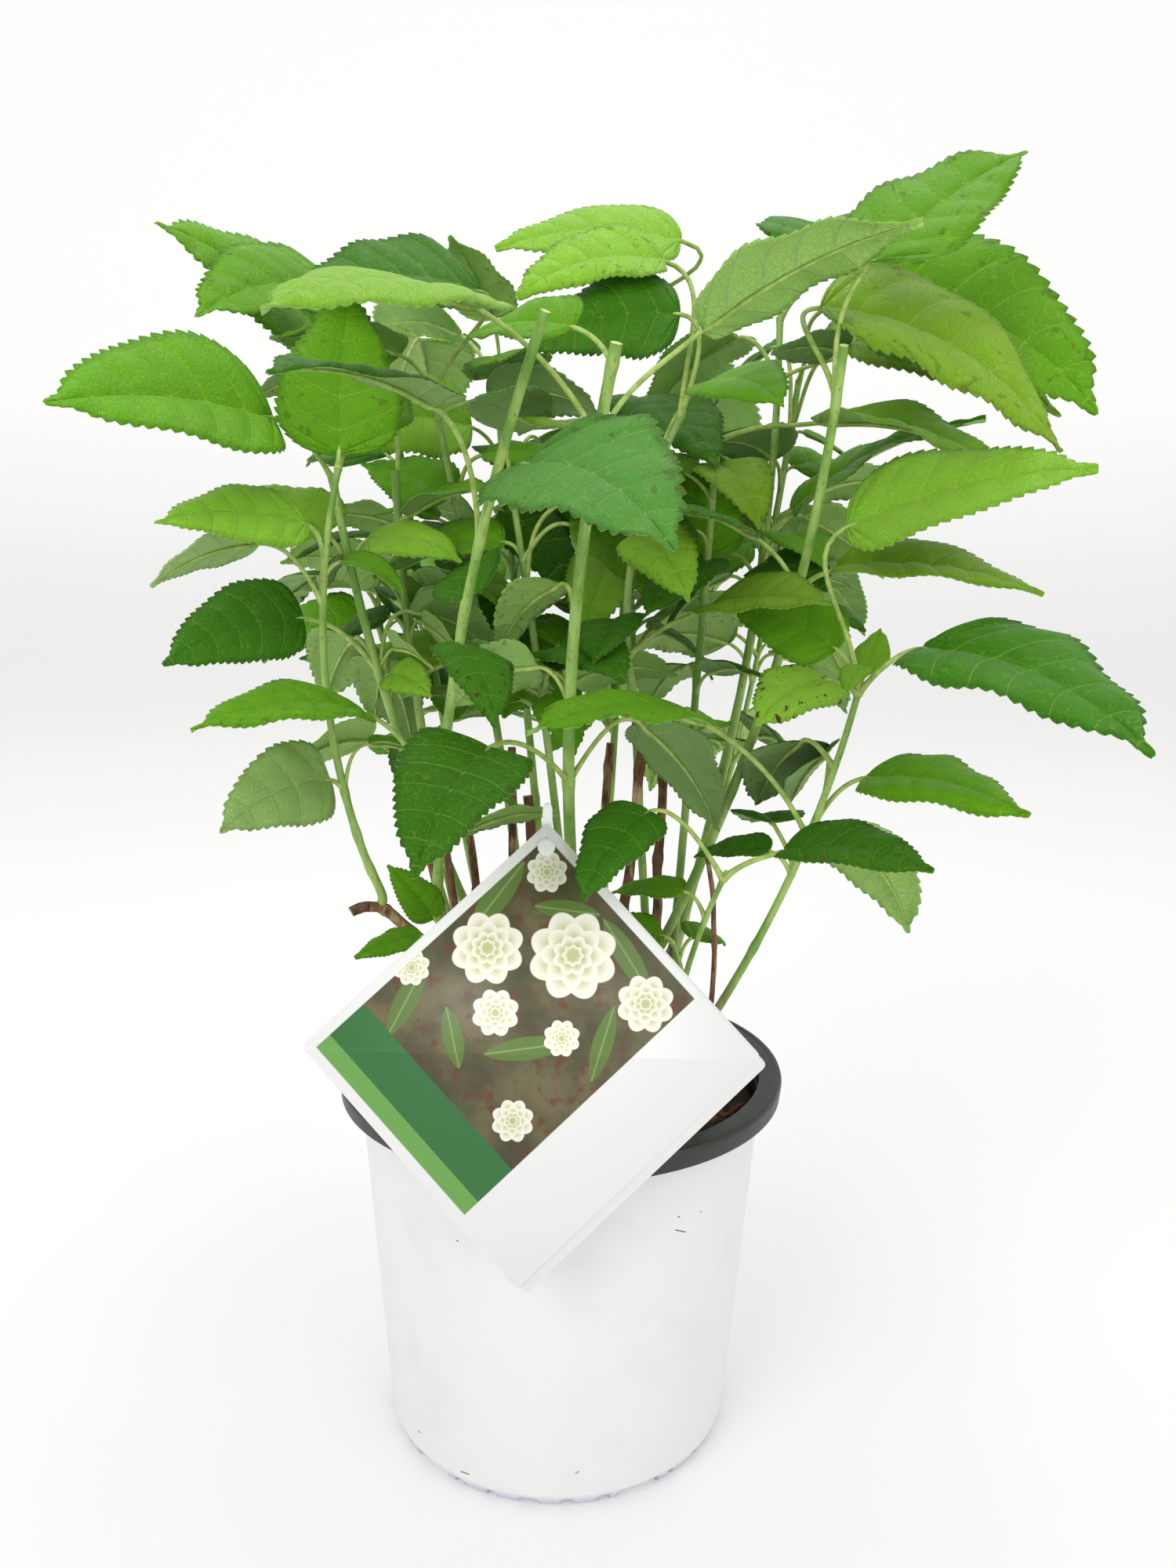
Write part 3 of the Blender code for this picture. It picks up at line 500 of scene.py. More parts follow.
def scallop_cutters():
    shape = bmesh.new()
    count = FOOT_SECTORS * len(FOOT_SCALLOPS)
    for index in range(count):
        width, height = FOOT_SCALLOPS[index % len(FOOT_SCALLOPS)]
        half = width / 2
        outline = rounded([(-half, -height), (half, -height), (half, height), (-half, height)],
                          [0, 0, 1.8, 1.8], 4)
        spin = Matrix.Rotation(math.radians(FIRST_SCALLOP + index * 360 / count), 4, "Z")
        rings = [[shape.verts.new(spin @ Vector((radius, point.x * MM, point.y * MM))) for point in outline]
                 for radius in NOTCH_RADIUS]
        for i in range(len(outline)):
            j = (i + 1) % len(outline)
            shape.faces.new((rings[0][i], rings[1][i], rings[1][j], rings[0][j]))
        shape.faces.new(rings[1])
        shape.faces.new(rings[0][::-1])
    bmesh.ops.recalc_face_normals(shape, faces=shape.faces)
    mesh = bpy.data.meshes.new("scallop_cutters")
    shape.to_mesh(mesh)
    shape.free()
    return show("scallop_cutters", mesh)


wall_line = rounded([(0, 0), (64, 0), (65, 0.8), (67, 0), (74, 0), (76, 1), (78, 6), (90, 156.7),
                     (88.4, 156.7), (74.4, 9.5), (69, 3.5), (0, 3.5)],
                    [0, 0.8, 0.6, 0.8, 0.8, 2, 6, 0.5, 0.5, 6, 6, 0])
wall_mesh = turned("pot_wall", [point * MM for point in wall_line], POT_STEPS)
pot = show("pot_wall", wall_mesh, white.material)
cutters = scallop_cutters()
notch = pot.modifiers.new("scallops", "BOOLEAN")
notch.operation = "DIFFERENCE"
notch.object = cutters
notch.solver = "EXACT"
pot = baked(pot, "pot_wall", white.material)
bpy.data.objects.remove(cutters)
hand_over(pot, "pot_white", "pot")

# %% [markdown]
# The rim is rolled over. A fine bead runs round its outer edge, and catches the light between the level top
# and the skirt below it. Its plastic is dull with a faint grain. The rim is turned like the wall, so the
# bead is only a few more points of its outline.

# %% Pot rim
dark = Finish("rim_plastic", 0.46, Specular_IOR_Level=0.45)
spot = dark.place()
grain = dark.noise(spot, 260, 4)
dark.colour(dark.mix(grain.rise(0.35, 0.75) * 0.35, CHARCOAL, srgb(52, 55, 52)))
dark.roughness(grain * 0.2 + 0.36).bump(dark.noise(spot, 1400, 2), 0.03 * MM)
rim_line = rounded([(89, 157), (89, 165), (96.2, 165), (96.9, 165.5), (98.6, 165.4), (99.2, 163.6),
                    (98.5, 157)],
                   [0, 1.4, 0.3, 0.5, 0.7, 1.2, 0.3], 4)
rim_mesh = turned("pot_rim_ring", [point * MM for point in rim_line], POT_STEPS)
hand_over(show("pot_rim_ring", rim_mesh, dark.material), "rim_charcoal", "pot_rim")

# %% [markdown]
# ## The bark mix
# The filling is one body with an uneven surface. Relief alone would look like fine soil, so chips of bark
# lie on it: a Geometry Nodes tree scatters points over the faces that look up, and puts one of four chips
# on each, turned and sized by chance.

# %% Bark mix
SOIL_STEPS, SOIL_RINGS = 112, 34
soil_finish = Finish("bark_mix_fines", 0.9, Specular_IOR_Level=0.25)
spot = soil_finish.place()
crumbs = soil_finish.noise(spot, 420, 5, 0.7)
soil_finish.colour(soil_finish.mix(crumbs.rise(0.3, 0.7), srgb(38, 27, 22), srgb(84, 62, 47)))
soil_finish.bump(crumbs, 1.2 * MM)


def uneven(x, y, z=0.0):
    """Height of the surface's unevenness at this place, in metres, up to about 2 mm either way."""
    coarse = noise.noise(Vector((x, y, z)) * 60)
    fine = noise.noise(Vector((x, y, z)) * 260 + Vector((7, 3, 1)))
    return (1.6 * coarse + 0.9 * fine) * MM


inner = wall_radius(SOIL_TOP) - WALL - 0.6 * MM
soil_line = [(0, 3.8 * MM), (68 * MM, 3.8 * MM), (73.6 * MM, 9.8 * MM), (inner, SOIL_TOP - 4 * MM),
             (inner - 1 * MM, SOIL_TOP)]
soil_line += [((inner - 3 * MM) * (1 - ring / SOIL_RINGS), SOIL_TOP) for ring in range(SOIL_RINGS)]
soil_line.append((0, SOIL_TOP))
soil_mesh = turned("bark_mix", soil_line, SOIL_STEPS)
for vertex in soil_mesh.vertices:
    if vertex.co.z > SOIL_TOP - 0.1 * MM and vertex.co.xy.length < inner - 2 * MM:
        vertex.co.z += uneven(*vertex.co)
soil = show("bark_mix", soil_mesh, soil_finish.material)
hand_over(soil, "bark_mix", "soil")

# %% [markdown]
# A shape that is repeated thousands of times has to stay plain. Each chip is a ball of twenty faces, pulled
# long and flat, with its corners pushed in and out by chance. Four sizes are enough, because the scatter
# turns and scales them too.

# %% Chip shapes
CHIP_SIZES = ((9, 4, 1.6), (6, 4.4, 1.8), (12, 3.2, 1.4), (4, 3, 1.6))     # millimetres
chip_finish = Finish("bark_chips", 0.85, Specular_IOR_Level=0.3)
spot = chip_finish.place((1, 1, 2))
patch = chip_finish.noise(spot, 95, 2).rise(0.35, 0.65)
fibre = chip_finish.noise(chip_finish.place((1, 4, 4)), 500, 4)
tone = chip_finish.mix(patch, srgb(58, 40, 30), srgb(132, 92, 62))
tone = chip_finish.mix(chip_finish.noise(spot, 60, 1).rise(0.62, 0.7), tone, srgb(158, 128, 98))
chip_finish.colour(chip_finish.mix(fibre.rise(0.4, 0.75) * 0.5, tone, srgb(70, 50, 38)))
chip_finish.bump(fibre, 0.5 * MM)

chips = bpy.data.collections.new("chips")
bpy.context.scene.collection.children.link(chips)
chance = random.Random(5)
for index, (length, width, depth) in enumerate(CHIP_SIZES):
    shape = bmesh.new()
    bmesh.ops.create_icosphere(shape, subdivisions=1, radius=0.5)
    for vertex in shape.verts:
        rough = 1 + chance.uniform(-0.25, 0.25)
        vertex.co = Vector((vertex.co.x * length, vertex.co.y * width, vertex.co.z * depth)) * rough * MM
    mesh = bpy.data.meshes.new("chip_%d" % index)
    shape.to_mesh(mesh)
    shape.free()
    chips.objects.link(bpy.data.objects.new(mesh.name, mesh))

# %% [markdown]
# The tree keeps only the faces that look up, near the top and clear of the wall. It spreads points over
# them at a given density, and a collection holds the chips to choose from.

# %% Scattered chips
tree, given = new_tree("scattered chips", {"Chips": "Collection", "Density": "Float", "Seed": "Int",
                                           "Height": "Float", "Reach": "Float", "Finish": "Material"})
normal_up = add_node(tree, "ShaderNodeSeparateXYZ", {}, [add_node(tree, "GeometryNodeInputNormal")], 2)
position = add_node(tree, "GeometryNodeInputPosition")
at_x, at_y, at_z = (add_node(tree, "ShaderNodeSeparateXYZ", {}, [position], index) for index in range(3))
near = ((at_x ** 2.0 + at_y ** 2.0) ** 0.5).math("LESS_THAN", given["Reach"])
upward = normal_up.math("GREATER_THAN", 0.6) * at_z.math("GREATER_THAN", given["Height"]) * near
points = add_node(tree, "GeometryNodeDistributePointsOnFaces", {"distribute_method": "RANDOM"},
                  {"Mesh": given["Geometry"], "Selection": upward, "Density": given["Density"],
                   "Seed": given["Seed"]})
kinds = add_node(tree, "GeometryNodeCollectionInfo", {},
                 {"Collection": given["Chips"], "Separate Children": True, "Reset Children": True})
turns = add_node(tree, "FunctionNodeRandomValue", {"data_type": "FLOAT_VECTOR"},
                 {0: (-0.5, -0.5, 0), 1: (0.5, 0.5, 6.28), "Seed": 1})
sizes = add_node(tree, "FunctionNodeRandomValue", {"data_type": "FLOAT"}, {2: 0.35, 3: 1.15, "Seed": 2}, 1)
laid = add_node(tree, "GeometryNodeInstanceOnPoints", {},
                {"Points": points, "Instance": kinds, "Pick Instance": True, "Rotation": turns,
                 "Scale": sizes})
end_tree(tree, laid, given["Finish"])
ground = show("ground", soil_mesh.copy())
chip_inputs = {"Chips": chips, "Density": 62000.0, "Seed": 3, "Height": SOIL_TOP - 3 * MM,
               "Reach": inner - 6 * MM, "Finish": chip_finish.material}
litter = grown(ground, tree, "bark_litter", chip_inputs, chip_finish.material)
for piece in list(chips.objects):
    bpy.data.objects.remove(piece)
bpy.data.collections.remove(chips)
hand_over(litter, "bark_mix")

# %% [markdown]
# ## The card and its stake
# The card hangs by one corner and leans back on its stake. Its print is a plain pattern made up for this
# lesson: a dusky olive field with cream rosettes and leaf shapes, a green stripe along one lower edge and a
# white panel along the other. An image would blur up close, so the pattern is drawn by formulas in the
# card's own coordinates, which its UV map holds in millimetres.

# %% Card shape
CARD_SIDE, CARD_BREADTH, CARD_THICKNESS = 125 * MM, 120 * MM, 1.2 * MM
CARD_CORNER = 2.5 * MM    # radius of its rounded corners
CARD_CENTRE = Vector((-9.5, -91, 205)) * MM
CARD_LEAN, CARD_TURN = 16.0, 2.0
HALF_DIAGONAL = CARD_SIDE / math.sqrt(2)
CARD_PLACE = (Matrix.Translation(CARD_CENTRE) @ Matrix.Rotation(math.radians(90 - CARD_LEAN), 4, "X")
              @ Matrix.Rotation(math.radians(-CARD_TURN), 4, "Z"))


def sheet(name, outline, low, high, place, material):
    """A flat sheet of this 2D outline between two depths, with its own coordinates in millimetres as UV."""
    mesh = bpy.data.meshes.new(name)
    corners = [(point.x, point.y, depth) for depth in (low, high) for point in outline]
    mesh.from_pydata(corners, [], ring_faces(len(outline), 2))
    own = mesh.uv_layers.new(name="sheet")
    for loop, flat in zip(mesh.loops, own.data):
        flat.uv = mesh.vertices[loop.vertex_index].co.xy / MM
    mesh.transform(place)
    return show(name, mesh, material)


def diamond(half, radius):
    """The card's outline on its corner: a square less a strip along its lower right edge."""
    strip = (CARD_SIDE - CARD_BREADTH) * math.sqrt(0.5)
    corners = [(half * math.cos(math.radians(angle)) - cut, half * math.sin(math.radians(angle)) + cut)
               for angle, cut in ((-90, strip), (0, strip), (90, 0), (180, 0))]
    return rounded(corners, [radius] * 4, 6)


print("card", round(CARD_SIDE / MM), "by", round(CARD_BREADTH / MM), "mm")


# %% [markdown]
# The print's formulas work in card coordinates turned by 45 degrees: p runs along the lower right edge and
# q along the lower left one, both from the bottom corner, in millimetres.

# %% Card print
SIDE, BREADTH = CARD_SIDE / MM, CARD_BREADTH / MM
BORDER = 4.0
STRIPE_LIGHT, STRIPE_END = 11.0, 28.0
PANEL_END = 33.0
LEAF_SHAPES = ((40, 106, 20, 30, 9), (62, 62, -35, 34, 9), (92, 112, 10, 34, 10), (113, 62, 80, 34, 9),
               (84, 44, 30, 30, 8), (44, 84, 60, 24, 8), (108, 90, 130, 26, 8))
ROSETTES = ((76, 100, 14), (98, 76, 17), (62, 80, 9), (106, 44, 11), (40, 46, 8), (74, 56, 7), (50, 114, 7),
            (112, 106, 8))
PETAL_RINGS = ((1.0, 0.0), (0.72, 1.57), (0.46, 0.0), (0.24, 1.57))      # reach and turn of each ring
card_finish = Finish("card_print", 0.4, Specular_IOR_Level=0.4, Coat_Weight=0.15, Coat_Roughness=0.25)
flat = card_finish.uv("sheet")
cx, cy = card_finish.axis(flat, 0), card_finish.axis(flat, 1)
half_root = math.sqrt(0.5)
lower = cy + HALF_DIAGONAL / MM
p = (lower + cx) * half_root
q = (lower - cx) * half_root - (SIDE - BREADTH)
field = (p.band(BORDER, SIDE - BORDER, 0.25) * q.band(BORDER, BREADTH - BORDER, 0.25))
haze = card_finish.noise(flat, 0.035, 3)
picture = card_finish.mix(haze.rise(0.35, 0.65), srgb(74, 72, 48), srgb(112, 104, 72))
picture = card_finish.mix(card_finish.noise(flat, 0.09, 4).rise(0.5, 0.7) * 0.6, picture, srgb(66, 84, 44))
picture = card_finish.mix(card_finish.noise(flat, 0.16, 4).rise(0.52, 0.66) * 0.8, picture, srgb(104, 60, 44))
for place_p, place_q, lie, length, width in LEAF_SHAPES:
    turn = math.radians(lie)
    along = ((p - place_p) * math.cos(turn) + (q - place_q) * math.sin(turn)) / (length / 2)
    aside = ((q - place_q) * math.cos(turn) - (p - place_p) * math.sin(turn)) / (width / 2)
    shape = 1 - (along ** 2.0 + abs(aside) ** 1.3).rise(0.9, 1.0)
    picture = card_finish.mix(shape * 0.85, picture, srgb(96, 128, 58))
    line = shape * (1 - abs(aside).rise(0.03, 0.12))
    picture = card_finish.mix(line * 0.6, picture, srgb(150, 172, 110))
for place_p, place_q, radius in ROSETTES:
    run, rise = p - place_p, q - place_q
    away = (run ** 2.0 + rise ** 2.0) ** 0.5 / radius
    angle = rise.math("ARCTAN2", run)
    for reach, phase in PETAL_RINGS:
        edge = (abs((angle * 4.0 + phase).math("SINE")) * 0.18 + 0.82) * reach
        petals = card_finish.mix((away / edge).rise(0.5, 0.95), srgb(196, 196, 142), srgb(246, 243, 228))
        picture = card_finish.mix(1 - (away - edge).rise(-0.02, 0.02), picture, petals)
stripe = 1 - p.rise(STRIPE_END - 0.4, STRIPE_END)
green = card_finish.mix(p.rise(STRIPE_LIGHT - 0.4, STRIPE_LIGHT), srgb(112, 168, 84), srgb(56, 116, 62))
picture = card_finish.mix(stripe, picture, green)
picture = card_finish.mix(q.rise(PANEL_END - 0.4, PANEL_END), srgb(240, 240, 238), picture)
blank = card_finish.mix(field, srgb(240, 240, 238), picture)
card_finish.colour(blank)
card_finish.bump(card_finish.noise(flat, 2.0, 2), 0.01 * MM)
plain_white = Finish("card_white", 0.4, Specular_IOR_Level=0.4).colour(srgb(238, 238, 236))
print("nodes of the print", len(card_finish.tree.nodes))

# %% [markdown]
# The card is printed on its front face only. A second, slightly smaller leaf of the card lies behind it and
# shows along one lower edge, and a round button near the upper corner fastens it to the stake.

# %% Card pieces
card = sheet("plant_card", diamond(HALF_DIAGONAL, CARD_CORNER), -CARD_THICKNESS / 2, CARD_THICKNESS / 2,
             CARD_PLACE, plain_white.material)
card.data.materials.append(card_finish.material)
facing = (CARD_PLACE.to_3x3() @ UP).normalized()
for polygon in card.data.polygons:
    if polygon.normal.dot(facing) > 0.9:
        polygon.material_index = 1
hand_over(card, "card_white", "tag_card")
behind = Matrix.Translation((3.8 * MM, -3.2 * MM, 0))
back = sheet("card_back_leaf", diamond(HALF_DIAGONAL - 1.2 * MM, CARD_CORNER), -1.35 * MM, -0.75 * MM,
             CARD_PLACE @ behind, plain_white.material)
hand_over(back, "card_white")
button_line = rounded([(0, -0.1), (3.4, -0.1), (3.4, 0.5), (2.4, 1.1), (0, 1.2)], [0, 0, 0.3, 1.0, 0], 4)
button_finish = Finish("card_button", 0.35).colour(srgb(216, 222, 218))
button_mesh = turned("card_button", [point * MM for point in button_line], 32)
button_mesh.transform(CARD_PLACE @ Matrix.Translation((0, HALF_DIAGONAL - 9.5 * MM, CARD_THICKNESS / 2)))
hand_over(show("card_button", button_mesh, button_finish.material), "card_white")

# %% [markdown]
# The stake is a flat strip that narrows upward to a rounded top. It runs down behind the card into the
# filling. It is a stack of rounded rectangles, joined ring by ring, since a stretched cube could neither
# narrow nor round off.

# %% Stake
STAKE_WIDTH, STAKE_THICKNESS, STAKE_DEPTH, STAKE_TOP = 7 * MM, 1.6 * MM, 60 * MM, 8 * MM


def build_stake():
    trim = CARD_CORNER / math.sqrt(2)
    seat = CARD_PLACE @ Vector((0, HALF_DIAGONAL - 0.3 * trim, -CARD_THICKNESS / 2))
    top = seat + Vector((0, GAP + STAKE_THICKNESS / 2 - 0.2 * MM, STAKE_TOP))
    bottom = Vector((top.x - 3 * MM, top.y + 6 * MM, SOIL_TOP - STAKE_DEPTH))
    section = rounded([(-0.5, -0.5), (0.5, -0.5), (0.5, 0.5), (-0.5, 0.5)], [0.35] * 4, 3)
    levels = [(0.0, 1.0)] + [(share / 10, 1.0 - 0.045 * share) for share in range(1, 10)]
    levels += [(0.985, 0.55), (0.992, 0.50), (0.997, 0.38), (1.0, 0.2)]
    corners = []
    for share, narrow in levels:
        middle = bottom.lerp(top, share)
        thin = 1.0 if share < 0.98 else 0.7 + 0.3 * (1 - share) / 0.02
        corners += [middle + Vector((point.x * STAKE_WIDTH * narrow, point.y * STAKE_THICKNESS * thin, 0))
                    for point in section]
    mesh = bpy.data.meshes.new("card_stake")
    mesh.from_pydata(corners, [], ring_faces(len(section), len(levels)))
    return show("card_stake", mesh, stake_finish.material)


stake_finish = Finish("stake_plastic", 0.4).colour(srgb(240, 240, 240))
hand_over(build_stake(), "stake_white", "tag_stake")

# %% [markdown]
# ## The shrub's rule
# Every stem and piece of old wood is a limb: a bowed line from foot to top. Leaves stand in opposite pairs
# on the stems. The table lists them: the ones that the front of the shrub shows have a row each, the others
# only a place, a bearing and a length, and follow the rule. Bearings are level angles from +X towards +Y.
# The shades of a stem deal out its leaf colours, one letter a posed row: deep, mid, light, bluish, pale and
# olive. A capital letter is a leaf with brown spots.

# %% The table of limbs
# Blade: cross sections at these shares of its length, the first row for leaves over LARGE_LEAF
LARGE_STATIONS = (0.0, 0.14, 0.38, 0.7, 1.0)
SMALL_STATIONS = (0.0, 0.2, 0.62, 1.0)
LARGE_LEAF = 64 * MM
BLADE_HALF_WIDTH = 0.32   # of its length
BLADE_THICKNESS = 0.012   # of its length
THINNEST_BLADE = 0.7 * MM
STALK_RADIUS = 1.1 * MM
STALK_SINK = 0.09         # of the blade's length, how far the stalk runs on under it
LIMB_SIDES = 5
CROWN_FLOOR = 172 * MM
CROWN_REACH = 262 * MM
SEED = 41

# Cut old wood, in millimetres: foot (x, y), cut top (x, y, z), bow of its middle (x, y, z), thickness
OLD_WOOD = {
    "old_wood_arm": ((-12, -14), (-89, -30, 243), (-8, 2, 30), 5.6),
    "old_wood_1": ((-22, 33), (-45, 31, 270), (-2, 0, 0), 4.6),
    "old_wood_2": ((-36, 12), (-70, 18, 308), (-2, 0, 0), 3.6),
    "old_wood_3": ((-14, 21), (-24, 22, 306), (-3, 0, 0), 4.4),
    "old_wood_4": ((18, 22), (21, 32, 307), (-2, 0, 0), 4.6),
    "old_wood_5": ((33, -5), (43, 4, 305), (3, 0, 0), 5.0),
    "old_wood_6": ((27, -12), (34, -3, 314), (-3, 0, 0), 5.2),
    "old_wood_7": ((52, -27), (60, -28, 268), (8, 0, 0), 2.6),
    "old_wood_8": ((-34, -4), (-53, 2, 268), (0, 0, 0), 4.2),
    "old_wood_9": ((-3, -1), (-16, -1, 288), (0, 0, 0), 5.4),
}

